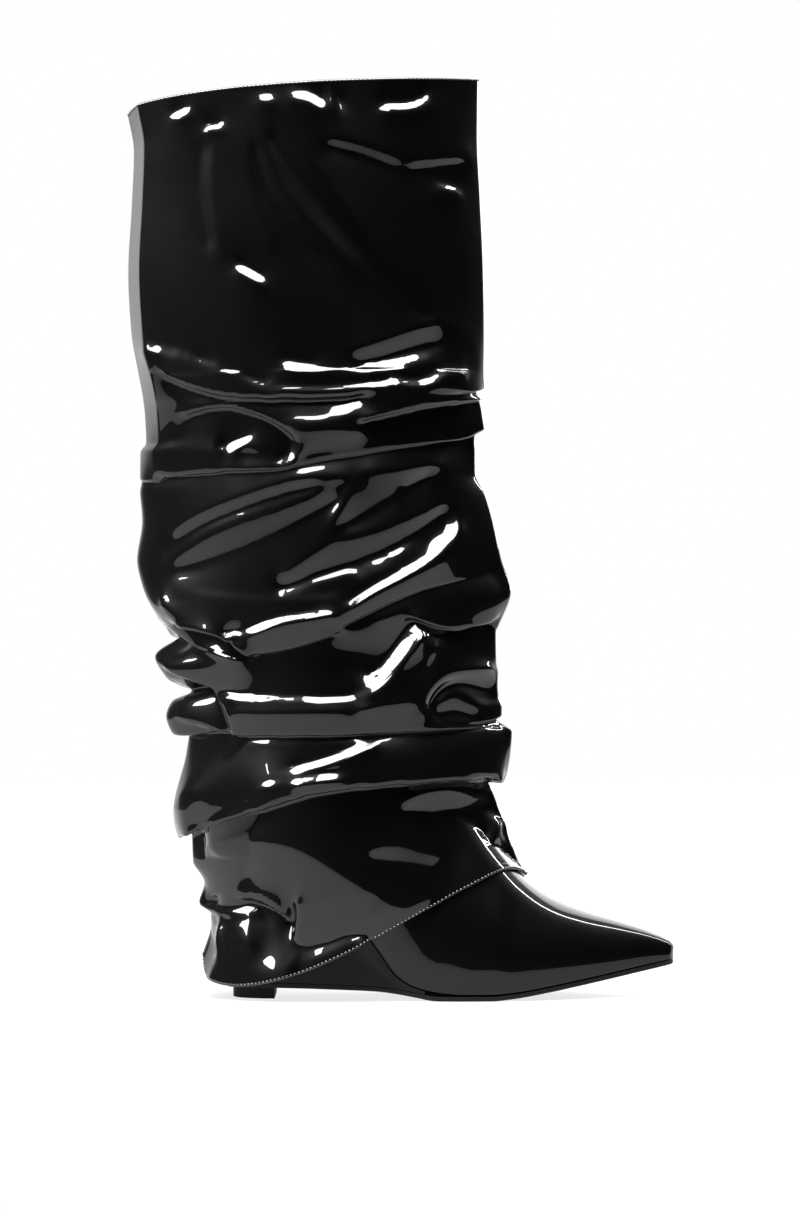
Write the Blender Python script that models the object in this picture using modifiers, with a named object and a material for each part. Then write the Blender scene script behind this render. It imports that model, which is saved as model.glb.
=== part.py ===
"""Right-foot slouch boot on a hidden wedge, built from the pieces that a shoemaker puts together.

The toe points along +X, the outer side of the foot faces -Y and the boot stands on z = 0.
The origin is the middle of the heel top piece's floor face. Sizes are in millimetres.
"""

import math
from collections import namedtuple

import bmesh
import bpy
import numpy as np
from mathutils import Vector
from mathutils.bvhtree import BVHTree

METRES_PER_MM = 0.001

# Walls, sheets and the gap that neighbouring pieces keep
SHAFT_WALL = 1.5
UPPER_WALL = 1.8
OUTSOLE_THICKNESS = 2.6
INSOLE_THICKNESS = 2.0
PIECE_GAP = 0.35
SLEEVE_GAP = 1.1
FAR_SIDE = 200.0
TOUCH_RANGE = 8.0
MERGE_DISTANCE = 0.01
SHARP_EDGE = math.radians(40)

# Heel top piece: a D-shaped rubber block, round at the back
TOP_PIECE_LENGTH = 24.0
TOP_PIECE_HALF_WIDTH = 22.0
TOP_PIECE_POWER = 0.7
TOP_PIECE_STEPS = 8

# Insole board inside the upper's wall
INSOLE_TOE_X = 224.0
INSOLE_HEEL_X = -15.0
INSOLE_INSET = 3.4
INSOLE_HEEL_INSET = 6.0
INSOLE_HEEL_END_X = 0.0
INSOLE_CHAMFER = 0.3

# Outsole edge and wedge sides
OUTSOLE_TOE_X = 236.6
OUTSOLE_HEEL_X = -14.0
SOLE_MARGIN = 0.8
SOLE_CHAMFER = 0.7
MOST_CHAMFER_SHARE = 0.4
WEDGE_FRONT_X = 96.0
WEDGE_BACK_X = -23.0
WEDGE_WAIST_SHARE = 0.9
WEDGE_FOOT_SHARE = 0.88
WEDGE_RUN_OUT_X = 60.0
WEDGE_WAIST_END_X = 80.0
WEDGE_BACK_RAKE = 0.13
WEDGE_RAKE_START_X = 5.0

# Share of its full width that the outsole keeps towards its rounded heel end
HeelRound = namedtuple("HeelRound", "x share")
OUTSOLE_HEEL_ROUND = [
    HeelRound(OUTSOLE_HEEL_X, 0.86),
    HeelRound(-8.0, 0.96),
    HeelRound(0.0, 1.0),
    HeelRound(OUTSOLE_TOE_X, 1.0),
]

# Mesh density
SECTION_STEPS = 10
END_CROWDING = 1.6
HALF_ROW = 0.5
SLEEVE_STEPS = 20

# Sharpness of the ridge along the vamp, where 1 is a plain ellipse, and the upper's least bulge past the
# feather line
RIDGE_POWER = 1.12
LEAST_BULGE = 1.03

# Plan and side of the last bottom, toe to heel. centre_y is the inward swing of the toe, the halves
# are the feather line's distance from it, tread_z is the outsole's floor side, seat_z the feather line.
SoleStation = namedtuple("SoleStation", "x centre_y half_out half_in tread_z seat_z")
SOLE_STATIONS = [
    SoleStation(237.0, 5.5, 2.0, 2.0, 17.8, 20.6),
    SoleStation(235.0, 5.5, 6.0, 6.0, 17.4, 20.2),
    SoleStation(230.0, 5.3, 9.0, 9.0, 16.4, 19.3),
    SoleStation(220.0, 4.9, 13.5, 13.0, 14.5, 17.5),
    SoleStation(205.0, 4.2, 20.0, 19.0, 11.6, 14.6),
    SoleStation(185.0, 3.3, 28.0, 26.5, 7.8, 10.8),
    SoleStation(165.0, 2.4, 35.0, 33.0, 4.2, 7.2),
    SoleStation(145.0, 1.5, 40.0, 38.5, 1.1, 4.2),
    SoleStation(132.0, 1.0, 41.3, 40.8, 0.0, 3.2),
    SoleStation(118.0, 0.6, 41.5, 41.0, 0.0, 3.2),
    SoleStation(104.0, 0.3, 40.5, 38.5, 0.0, 4.2),
    SoleStation(90.0, 0.1, 37.5, 34.0, 1.9, 7.6),
    SoleStation(80.0, 0.0, 35.0, 31.0, 3.4, 13.5),
    SoleStation(70.0, 0.0, 33.0, 28.5, 4.4, 27.0),
    SoleStation(60.0, 0.0, 31.2, 27.2, 4.8, 40.0),
    SoleStation(50.0, 0.0, 30.0, 26.5, 5.1, 50.5),
    SoleStation(35.0, 0.0, 29.2, 27.0, 5.6, 62.0),
    SoleStation(20.0, 0.0, 28.8, 27.8, 6.0, 70.0),
    SoleStation(5.0, 0.0, 27.8, 27.6, 6.2, 75.0),
    SoleStation(-8.0, 0.0, 25.0, 25.0, 6.2, 78.0),
    SoleStation(-17.0, 0.0, 19.0, 19.0, 6.2, 79.6),
    SoleStation(-22.0, 0.0, 11.0, 11.0, 6.2, 80.3),
    SoleStation(-24.0, 0.0, 3.0, 3.0, 6.2, 80.5),
]

# Sections of the upper from the toe to the collar. Each runs from a point on the ridge and instep, down
# both sides, to the feather line at seat_x or, where back_z is given, to that height on the back.
UpperSection = namedtuple("UpperSection", "top_x top_z seat_x back_z half_out half_in side_power")
UPPER_SECTIONS = [
    UpperSection(237.2, 27.0, 237.0, 0.0, 0.0, 0.0, 1.0),
    UpperSection(235.6, 30.0, 235.0, 0.0, 6.4, 6.4, 1.0),
    UpperSection(231.0, 32.8, 229.5, 0.0, 9.9, 9.8, 1.0),
    UpperSection(221.5, 37.0, 219.0, 0.0, 14.9, 14.3, 1.0),
    UpperSection(206.0, 42.3, 202.0, 0.0, 22.3, 21.2, 1.0),
    UpperSection(187.0, 48.4, 182.0, 0.0, 30.6, 29.0, 1.0),
    UpperSection(170.0, 55.5, 162.0, 0.0, 37.6, 35.6, 1.0),
    UpperSection(156.0, 64.6, 143.0, 0.0, 42.0, 40.6, 0.98),
    UpperSection(143.0, 77.0, 124.0, 0.0, 43.6, 43.2, 0.95),
    UpperSection(131.0, 91.5, 104.0, 0.0, 43.0, 41.6, 0.92),
    UpperSection(122.0, 105.0, 84.0, 0.0, 40.5, 38.6, 0.88),
    UpperSection(116.0, 117.0, 64.0, 0.0, 38.6, 37.0, 0.84),
    UpperSection(112.5, 127.0, 44.0, 0.0, 37.4, 36.2, 0.8),
    UpperSection(110.5, 134.0, 24.0, 0.0, 36.8, 36.0, 0.74),
    UpperSection(109.5, 139.0, 4.0, 0.0, 36.2, 35.8, 0.68),
    UpperSection(109.0, 142.0, -12.0, 0.0, 35.6, 35.4, 0.66),
    UpperSection(108.7, 144.0, -24.0, 0.0, 35.2, 35.2, 0.66),
    UpperSection(108.5, 146.0, -25.6, 87.0, 35.0, 35.0, 0.65),
    UpperSection(108.2, 148.0, -26.5, 97.0, 35.0, 35.0, 0.64),
    UpperSection(108.0, 151.0, -26.0, 112.0, 35.2, 35.2, 0.64),
    UpperSection(108.0, 154.0, -22.0, 132.0, 35.6, 35.6, 0.7),
    UpperSection(108.0, 157.0, -18.0, 150.0, 36.0, 36.0, 0.76),
]

# Rings of the slouched shaft from the hem to the collar: a lip is the lower edge of a fold, its tuck the
# crease hidden behind it, and a crown the fold's top. Each ring runs from the front crease to the back;
# sag drops or lifts its middle on either side, skew moves that sag forwards or backwards, half_out and
# half_in are its half-widths.
ShaftRing = namedtuple(
    "ShaftRing", "name front_x front_z back_x back_z sag_out sag_in skew half_out half_in"
)
SHAFT_RINGS = [
    ShaftRing("hem", 153.6, 69.6, -29.0, 24.0, -14.0, -14.0, 13.0, 41.0, 39.0),
    ShaftRing("heel_flare", 150.6, 73.6, -24.5, 40.0, -14.0, -13.0, 9.0, 43.5, 41.5),
    ShaftRing("heel_tuck", 148.6, 77.5, -25.5, 49.0, -13.0, -11.0, 2.0, 44.0, 42.0),
    ShaftRing("heel_lip", 147.6, 80.0, -31.4, 52.5, -12.0, -10.0, 0.0, 46.5, 44.0),
    ShaftRing("heel_crown", 145.6, 85.5, -28.5, 63.0, -6.0, -4.0, 0.0, 48.0, 45.5),
    ShaftRing("ankle", 140.5, 100.0, -35.0, 76.0, 4.0, 2.0, 0.0, 48.0, 46.5),
    ShaftRing("instep_tuck", 132.6, 119.5, -35.5, 93.0, 14.0, 8.0, 2.0, 44.5, 44.0),
    ShaftRing("instep_lip", 138.7, 119.5, -42.0, 88.5, 13.0, 6.0, 2.0, 49.5, 48.5),
    ShaftRing("instep_crown", 143.0, 127.0, -46.0, 103.0, 12.0, 5.0, 0.0, 51.5, 50.0),
    ShaftRing("instep_top", 145.5, 149.0, -38.7, 136.0, 1.0, 3.0, 0.0, 49.5, 49.0),
    ShaftRing("ear_tuck", 137.0, 156.0, -37.0, 147.5, 0.0, 2.0, 0.0, 45.0, 45.5),
    ShaftRing("ear_lip", 139.8, 158.0, -45.0, 147.0, -3.5, -2.0, 0.0, 51.0, 50.0),
    ShaftRing("ear_swell", 139.8, 163.0, -50.0, 157.5, -1.0, 0.0, 0.0, 51.5, 50.5),
    ShaftRing("ear_crown", 138.0, 168.0, -46.6, 166.0, 2.0, 3.0, 0.0, 50.0, 50.0),
    ShaftRing("roll_tuck", 137.4, 175.0, -35.8, 171.5, 4.0, 2.0, 0.0, 45.5, 46.0),
    ShaftRing("roll_lip", 137.6, 182.0, -50.0, 180.0, 1.0, 1.0, 2.0, 47.0, 48.0),
    ShaftRing("roll_swell", 136.6, 190.0, -56.2, 191.0, -4.0, 0.0, 4.0, 47.5, 49.5),
    ShaftRing("calf_tuck", 136.4, 205.0, -42.0, 204.5, -2.0, -1.0, 6.0, 45.5, 46.0),
    ShaftRing("calf_lip", 138.0, 209.0, -47.0, 209.5, -8.0, -4.0, 7.0, 51.0, 50.0),
    ShaftRing("calf_swell", 144.9, 228.0, -55.0, 217.5, -15.0, -10.0, 6.0, 52.5, 51.0),
    ShaftRing("calf_crown", 139.5, 246.0, -59.0, 225.0, -22.0, -14.0, 7.0, 50.5, 50.5),
    ShaftRing("slant_low", 134.2, 270.0, -63.5, 234.0, -24.0, -14.0, 6.0, 50.0, 50.0),
    ShaftRing("slant_swell", 130.0, 284.0, -66.4, 246.0, -10.0, -6.0, 2.0, 52.0, 51.5),
    ShaftRing("slant_crown", 125.0, 295.0, -63.5, 268.0, 3.0, 2.0, 0.0, 52.0, 51.0),
    ShaftRing("knee_low", 124.8, 306.0, -64.7, 284.0, 0.0, 0.0, 0.0, 50.0, 50.0),
    ShaftRing("knee_tuck", 125.3, 317.0, -62.5, 298.0, -3.0, -2.0, 0.0, 47.5, 47.0),
    ShaftRing("knee_lip", 130.0, 320.0, -64.5, 294.0, -6.5, -4.0, 0.0, 52.0, 51.0),
    ShaftRing("knee_ledge", 129.0, 327.0, -64.5, 306.5, -3.0, -2.0, 0.0, 51.5, 51.0),
    ShaftRing("cuff_recess", 128.0, 334.0, -61.3, 312.0, 0.0, 0.0, 0.0, 49.5, 49.5),
    ShaftRing("cuff_tuck", 126.6, 341.5, -62.0, 328.0, 0.0, 0.0, 0.0, 49.0, 48.5),
    ShaftRing("cuff_lip", 130.2, 343.5, -63.2, 338.0, -4.0, -3.0, 0.0, 50.5, 50.0),
    ShaftRing("cuff_crown", 129.8, 352.0, -65.8, 352.0, -2.0, -2.0, 0.0, 50.5, 50.0),
    ShaftRing("shaft_low", 130.0, 374.0, -69.6, 374.0, 0.0, 0.0, 0.0, 49.5, 49.0),
    ShaftRing("shaft_mid", 129.4, 410.0, -71.4, 408.0, 0.0, 0.0, 0.0, 48.5, 48.0),
    ShaftRing("shaft_high", 127.6, 450.0, -69.4, 446.0, 0.0, 0.0, 0.0, 46.5, 46.5),
    ShaftRing("shaft_top", 126.0, 486.0, -68.2, 476.0, 2.0, 2.0, 0.0, 45.0, 45.0),
    ShaftRing("collar", 126.3, 517.0, -71.5, 500.0, 6.0, 6.0, 0.0, 43.5, 43.5),
]
# The front of the shaft is pressed to a crease and its back is rounder: powers of the plan curve
FRONT_CREASE_POWER = 1.35
BACK_CREASE_POWER = 0.95


def smooth(stations, values, at):
    """The value at a place along a table, on a monotone cubic through its rows."""
    order = np.argsort(stations)
    x = np.asarray(stations, float)[order]
    y = np.asarray(values, float)[order]
    step = np.diff(x)
    slope = np.diff(y) / step
    tangent = np.empty_like(y)
    tangent[0], tangent[-1] = slope[0], slope[-1]
    for i in range(1, len(x) - 1):
        same_way = slope[i - 1] * slope[i] > 0
        weight_a = 2 * step[i] + step[i - 1]
        weight_b = step[i] + 2 * step[i - 1]
        mean = (weight_a + weight_b) / (weight_a / slope[i - 1] + weight_b / slope[i]) if same_way else 0
        tangent[i] = mean
    i = int(np.clip(np.searchsorted(x, at) - 1, 0, len(x) - 2))
    t = np.clip((at - x[i]) / step[i], 0, 1)
    return (
        (1 + 2 * t) * (1 - t) ** 2 * y[i]
        + t * (1 - t) ** 2 * step[i] * tangent[i]
        + t * t * (3 - 2 * t) * y[i + 1]
        - t * t * (1 - t) * step[i] * tangent[i + 1]
    )


def sole_at(x):
    """The last bottom's station at any x."""
    stations = [s.x for s in SOLE_STATIONS]
    values = [smooth(stations, column, x) for column in list(zip(*SOLE_STATIONS))[1:]]
    return SoleStation(x, *values)


def shared_stations(front, back):
    """Stations from front to back at the sole table's rows and halfway between them. All pieces along the
    feather line stand on these, so that their facets run side by side."""
    rows = [s.x for s in SOLE_STATIONS]
    halfway = [(a + b) / 2 for a, b in zip(rows, rows[1:])]
    between = [x for x in sorted(rows + halfway, reverse=True) if back < x < front]
    return [front, *between, back]


def new_material(name, colour, roughness, coat=0.0):
    material = bpy.data.materials.new(name)
    material.use_nodes = True
    shader = material.node_tree.nodes["Principled BSDF"]
    shader.inputs["Base Color"].default_value = (*colour, 1.0)
    shader.inputs["Roughness"].default_value = roughness
    shader.inputs["Metallic"].default_value = 0.0
    shader.inputs["Coat Weight"].default_value = coat
    return material


def add_object(name, mesh, material, collection):
    obj = bpy.data.objects.new(name, mesh)
    obj.data.materials.append(material)
    collection.objects.link(obj)
    return obj


def finish_mesh(name, form):
    """A smooth-shaded mesh in metres from a bmesh in millimetres."""
    bmesh.ops.remove_doubles(form, verts=form.verts, dist=MERGE_DISTANCE)
    bmesh.ops.scale(form, verts=form.verts, vec=(METRES_PER_MM,) * 3)
    mesh = bpy.data.meshes.new(name)
    form.to_mesh(mesh)
    form.free()
    mesh.shade_smooth()
    mesh.set_sharp_from_angle(angle=SHARP_EDGE)
    return mesh


def grid_form(rows, closed_around):
    """Quads between neighbouring rows of points; closed_around joins each row's last point to its first.
    A face looks towards you where its row runs right and the next row lies above it."""
    form = bmesh.new()
    made = [[form.verts.new(point) for point in row] for row in rows]
    columns = len(rows[0])
    last = columns if closed_around else columns - 1
    for lower, upper in zip(made, made[1:]):
        for j in range(last):
            k = (j + 1) % columns
            form.faces.new((lower[j], lower[k], upper[k], upper[j]))
    return form, made


def lofted_solid(name, rings):
    """A closed solid through closed rings of equal length, with a flat face on each end."""
    form, made = grid_form(rings, closed_around=True)
    form.faces.new(made[0])
    form.faces.new(made[-1])
    bmesh.ops.recalc_face_normals(form, faces=form.faces)
    return finish_mesh(name, form)


def add_wall(obj, thickness):
    """Thickens an open surface inwards into a closed wall."""
    wall = obj.modifiers.new("wall", "SOLIDIFY")
    wall.thickness = thickness * METRES_PER_MM
    wall.offset = -1
    wall.use_rim = True


def plate_ring(x, centre_y, half_out, half_in, low_z, high_z, chamfer):
    """A flat plate's cross-section at x, with its two lower edges chamfered."""
    out_y = centre_y - half_out
    in_y = centre_y + half_in
    cut = min(chamfer, MOST_CHAMFER_SHARE * (half_out + half_in))
    return [
        (x, out_y + cut, low_z),
        (x, in_y - cut, low_z),
        (x, in_y, low_z + chamfer),
        (x, in_y, high_z),
        (x, out_y, high_z),
        (x, out_y, low_z + chamfer),
    ]


def wedge_foot_half(half, x):
    """The wedge narrows to its foot, except at its front, where it runs out over the sole."""
    places = [WEDGE_BACK_X, WEDGE_RUN_OUT_X, WEDGE_FRONT_X]
    share = smooth(places, [WEDGE_FOOT_SHARE, WEDGE_FOOT_SHARE, 1.0], x)
    return half * share


def outsole_mesh():
    """The thin outsole, from under the heel to the toe, as wide as the wedge's foot behind the ball."""
    rings = []
    round_x, round_share = zip(*OUTSOLE_HEEL_ROUND)
    for x in shared_stations(OUTSOLE_TOE_X, OUTSOLE_HEEL_X):
        s = sole_at(x)
        end_share = smooth(round_x, round_share, x)
        margin = SOLE_MARGIN if x > WEDGE_FRONT_X else 0.0
        half_out = (wedge_foot_half(s.half_out, x) + margin) * end_share
        half_in = (wedge_foot_half(s.half_in, x) + margin) * end_share
        high_z = min(s.tread_z + OUTSOLE_THICKNESS, s.seat_z - PIECE_GAP)
        rings.append(plate_ring(x, s.centre_y, half_out, half_in, s.tread_z, high_z, SOLE_CHAMFER))
    return lofted_solid("outsole", rings)


def wedge_mesh():
    """The covered wedge between the outsole and the feather line, its sides drawn in towards the foot."""
    rings = []
    for x in shared_stations(WEDGE_FRONT_X, WEDGE_BACK_X):
        s = sole_at(x)
        low_z = s.tread_z + OUTSOLE_THICKNESS + PIECE_GAP
        high_z = s.seat_z - PIECE_GAP
        mid_z = (low_z + high_z) / 2
        ring = []
        for y_sign, half in ((-1, s.half_out), (1, s.half_in)):
            foot = wedge_foot_half(half, x)
            waist = (half + foot) / 2 * (WEDGE_WAIST_SHARE if x < WEDGE_WAIST_END_X else 1.0)
            side = [
                (y_sign * foot, low_z),
                (y_sign * max(waist, foot), mid_z),
                (y_sign * half, high_z),
            ]
            ring += side if y_sign > 0 else side[::-1]
        rake_share = (WEDGE_RAKE_START_X - x) / (WEDGE_RAKE_START_X - WEDGE_BACK_X)
        rake = WEDGE_BACK_RAKE * max(0.0, rake_share)
        rings.append([(x + rake * (high_z - z), y + s.centre_y, z) for y, z in ring])
    return lofted_solid("wedge", rings)


def insole_mesh():
    """The insole board, inside the upper's wall along the feather line."""
    rings = []
    places = [INSOLE_HEEL_X, INSOLE_HEEL_END_X, INSOLE_TOE_X]
    for x in shared_stations(INSOLE_TOE_X, INSOLE_HEEL_X):
        s = sole_at(x)
        inset = smooth(places, [INSOLE_HEEL_INSET, INSOLE_INSET, INSOLE_INSET], x)
        half_out = s.half_out - inset
        half_in = s.half_in - inset
        high_z = s.seat_z + INSOLE_THICKNESS
        rings.append(plate_ring(x, s.centre_y, half_out, half_in, s.seat_z, high_z, INSOLE_CHAMFER))
    return lofted_solid("insole", rings)


def top_piece_object(material, collection):
    """The heel's rubber top piece: straight across the front, a half-ellipse round the back."""
    front_x = TOP_PIECE_LENGTH / 2
    height = SOLE_STATIONS[-1].tread_z - PIECE_GAP
    arc = [
        (front_x - TOP_PIECE_LENGTH * math.sin(a), TOP_PIECE_HALF_WIDTH * math.cos(a) ** TOP_PIECE_POWER)
        for a in np.linspace(0, math.pi / 2, TOP_PIECE_STEPS + 1)
    ]
    outline = arc + [(x, -y) for x, y in arc[-2::-1]]
    curve = bpy.data.curves.new("heel_top_piece", "CURVE")
    curve.dimensions = "2D"
    curve.fill_mode = "BOTH"
    curve.extrude = height / 2 * METRES_PER_MM
    spline = curve.splines.new("POLY")
    spline.points.add(len(outline) - 1)
    for point, (x, y) in zip(spline.points, outline):
        point.co = (x * METRES_PER_MM, y * METRES_PER_MM, 0, 1)
    spline.use_cyclic_u = True
    obj = add_object("heel_top_piece", curve, material, collection)
    obj.location.z = height / 2 * METRES_PER_MM
    return obj


def section_angles(reach):
    """Angles down one side of a section: even to its widest point, then closer towards its rounded end."""
    quarter = math.pi / 2
    shares = np.linspace(0, 1, SECTION_STEPS // 2 + 1)
    above = [quarter * share for share in shares]
    below = [reach - (reach - quarter) * (1 - share) ** END_CROWDING for share in shares]
    return above + below[1:]


def half_section(top, seat, seat_half, half, side_power, y_sign):
    """Points down one side of the last, from the ridge to the feather line, on an oval that bulges to
    half and tucks under to seat_half. top and seat are (x, y, z)."""
    half = max(half, seat_half * LEAST_BULGE)
    tuck = (seat_half / half) ** (1 / side_power) if half else 0.0
    reach = math.pi - math.asin(tuck)
    points = []
    for angle in section_angles(reach):
        share = (1 - math.cos(angle)) / (1 - math.cos(reach))
        power = RIDGE_POWER if angle < math.pi / 2 else side_power
        x, y, z = (a + (b - a) * share for a, b in zip(top, seat))
        points.append((x, y + y_sign * half * abs(math.sin(angle)) ** power, z))
    points[-1] = (seat[0], seat[1] + y_sign * seat_half, seat[2])
    return points


def upper_section_at(place):
    """The upper's section at a place along its table, where whole numbers are the table's own rows."""
    rows = range(len(UPPER_SECTIONS))
    return UpperSection(*(smooth(rows, column, place) for column in zip(*UPPER_SECTIONS)))


def upper_sections():
    """The upper's sections: one on each of the sole's stations, then up the back of the heel."""
    foot = [section for section in UPPER_SECTIONS if not section.back_z]
    sections = []
    for x in shared_stations(foot[0].seat_x, foot[-1].seat_x):
        place = np.interp(-x, [-section.seat_x for section in foot], range(len(foot)))
        sections.append(upper_section_at(place)._replace(seat_x=x, back_z=0.0))
    for place in np.arange(len(foot), len(UPPER_SECTIONS) - HALF_ROW, HALF_ROW):
        sections.append(upper_section_at(place))
    return sections


def upper_rows():
    """Rows of the upper's outer face: each from the outer feather line over the ridge to the inner one."""
    rows = []
    for section in upper_sections():
        s = sole_at(section.seat_x)
        top = (section.top_x, sole_at(section.top_x).centre_y, section.top_z)
        seat = (section.seat_x, s.centre_y, section.back_z or s.seat_z)
        closed = section.back_z or not section.half_out
        seat_out, seat_in = (0.0, 0.0) if closed else (s.half_out, s.half_in)
        outer = half_section(top, seat, seat_out, section.half_out, section.side_power, -1)
        inner = half_section(top, seat, seat_in, section.half_in, section.side_power, 1)
        rows.append(outer[::-1] + inner[1:])
    return rows


def upper_mesh():
    form, _ = grid_form(upper_rows(), closed_around=False)
    return finish_mesh("upper", form)


def ring_side(ring, sag, half, y_sign):
    """Points of a shaft ring along one side, from the front crease to the back."""
    points = []
    for k in range(SLEEVE_STEPS + 1):
        angle = math.pi * k / SLEEVE_STEPS
        forward = (1 + math.cos(angle)) / 2
        power = FRONT_CREASE_POWER * forward + BACK_CREASE_POWER * (1 - forward)
        x = ring.back_x + (ring.front_x - ring.back_x) * forward
        z = ring.back_z + (ring.front_z - ring.back_z) * forward
        z += sag * math.sin(angle) + ring.skew * math.sin(2 * angle)
        points.append(Vector((x, y_sign * half * math.sin(angle) ** power, z)))
    return points


def clear_of(body, points, y_sign):
    """Moves points out until the shaft's wall clears the foot and wedge inside it."""
    least = SHAFT_WALL + SLEEVE_GAP
    for k, point in enumerate(points):
        start = Vector((point.x, y_sign * FAR_SIDE, point.z))
        hit, *_ = body.ray_cast(start, Vector((0, -y_sign, 0)))
        on_crease = k in (0, len(points) - 1)
        if hit is not None and not on_crease:
            point.y = y_sign * max(abs(point.y), abs(hit.y) + least)
        near, normal, _, distance = body.find_nearest(point)
        clear = (point - near).dot(normal)
        if distance < TOUCH_RANGE and clear < least:
            point += normal * (least - clear)
        if on_crease:
            point.y = 0.0
    return points


def shaft_mesh(body):
    rows = []
    for ring in SHAFT_RINGS:
        outer = clear_of(body, ring_side(ring, ring.sag_out, ring.half_out, -1), -1)
        inner = clear_of(body, ring_side(ring, ring.sag_in, ring.half_in, 1), 1)
        rows.append(inner + outer[-2:0:-1])
    form, _ = grid_form(rows, closed_around=True)
    return finish_mesh("shaft", form)


def body_of(meshes):
    """One search tree, in millimetres, over the pieces that the shaft hangs around."""
    form = bmesh.new()
    for mesh in meshes:
        form.from_mesh(mesh)
    bmesh.ops.scale(form, verts=form.verts, vec=(1 / METRES_PER_MM,) * 3)
    tree = BVHTree.FromBMesh(form)
    form.free()
    return tree


def main():
    for obj in list(bpy.data.objects):
        bpy.data.objects.remove(obj, do_unlink=True)
    boot = bpy.data.collections.new("wedge_boot")
    bpy.context.scene.collection.children.link(boot)

    patent = new_material("patent", (0.006, 0.006, 0.007), 0.06, coat=1.0)
    wedge_cover = new_material("wedge_cover", (0.012, 0.012, 0.013), 0.25)
    sole_black = new_material("sole_black", (0.015, 0.015, 0.016), 0.45)
    rubber = new_material("rubber", (0.02, 0.02, 0.02), 0.6)
    lining = new_material("lining", (0.03, 0.03, 0.03), 0.8)

    upper = upper_mesh()
    wedge = wedge_mesh()
    add_object("outsole", outsole_mesh(), sole_black, boot)
    add_object("wedge", wedge, wedge_cover, boot)
    add_object("insole", insole_mesh(), lining, boot)
    top_piece_object(rubber, boot)
    add_wall(add_object("upper", upper, patent, boot), UPPER_WALL)
    add_wall(add_object("shaft", shaft_mesh(body_of([upper, wedge])), patent, boot), SHAFT_WALL)


main()
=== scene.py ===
"""Looks of the slouch wedge boot: folded patent shaft, vamp, covered wedge, soles, lining and stitching.

Sizes are in millimetres in the CAD frame, toe to +X, outer side to -Y and floor at z = 0, until a mesh is
made in metres.
"""

import math
from collections import namedtuple

import bpy
import numpy as np
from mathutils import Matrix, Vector
from mathutils.bvhtree import BVHTree
from mathutils.kdtree import KDTree


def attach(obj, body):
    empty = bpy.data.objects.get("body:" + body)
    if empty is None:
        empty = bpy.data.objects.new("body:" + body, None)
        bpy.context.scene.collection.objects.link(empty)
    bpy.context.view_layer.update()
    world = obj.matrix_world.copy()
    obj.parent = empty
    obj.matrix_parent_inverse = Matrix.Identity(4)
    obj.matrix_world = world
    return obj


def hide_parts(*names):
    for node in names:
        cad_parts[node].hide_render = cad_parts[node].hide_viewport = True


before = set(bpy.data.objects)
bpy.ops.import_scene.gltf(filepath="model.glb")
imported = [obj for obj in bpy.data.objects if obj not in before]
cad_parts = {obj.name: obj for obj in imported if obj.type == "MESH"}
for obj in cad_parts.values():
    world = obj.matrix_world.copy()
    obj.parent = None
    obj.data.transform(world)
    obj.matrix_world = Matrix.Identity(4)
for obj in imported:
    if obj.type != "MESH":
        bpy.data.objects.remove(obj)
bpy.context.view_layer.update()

METRES_PER_MM = 0.001
TINY = 1e-9

# Camera: level, square to the outer side, at the photograph's distance and framing
CAMERA_PLACE = (0.0822, -2.4, 0.2206)
PHOTO_HEIGHT_PX = 1209
MM_PER_PIXEL = 0.565
SENSOR = 36.0

# Walls, sheets and gaps, with the height up to which the shaft is kept clear of the foot
FOOT_TOP_Z = 165.0
SKIN_TO_FOOT = 2.0
UPPER_WALL = 1.8
OUTSOLE_THICKNESS = 2.6
PIECE_GAP = 0.35
TOUCH_RANGE = 8.0

# Outsole and wedge
OUTSOLE_TOE_X = 236.6
OUTSOLE_HEEL_X = -14.0
SOLE_MARGIN = 0.8
SOLE_CHAMFER = 0.7
SOLE_STEP = 2.0
WEDGE_FRONT_X = 96.0
WEDGE_BACK_X = -23.0
WEDGE_WAIST_SHARE = 0.9
WEDGE_FOOT_SHARE = 0.88
WEDGE_RUN_OUT_X = 60.0
WEDGE_WAIST_END_X = 80.0
WEDGE_BACK_RAKE = 0.13
WEDGE_RAKE_START_X = 5.0
WEDGE_SIDE_STEPS = 8
SHARP_ANGLE = 40.0

# Share of its full width that the outsole keeps towards its rounded heel end
HeelRound = namedtuple("HeelRound", "x share")
OUTSOLE_HEEL_ROUND = [
    HeelRound(OUTSOLE_HEEL_X, 0.86),
    HeelRound(-8.0, 0.96),
    HeelRound(0.0, 1.0),
    HeelRound(OUTSOLE_TOE_X, 1.0),
]

# Upper: mesh density, sharpness of the vamp's ridge, least bulge past the feather line and how low it sits
SECTION_STEPS = 36
SECTIONS_PER_ROW = 5
RIDGE_POWER = 1.0
LEAST_BULGE = 1.03
LOW_FULLNESS = 0.8

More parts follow.
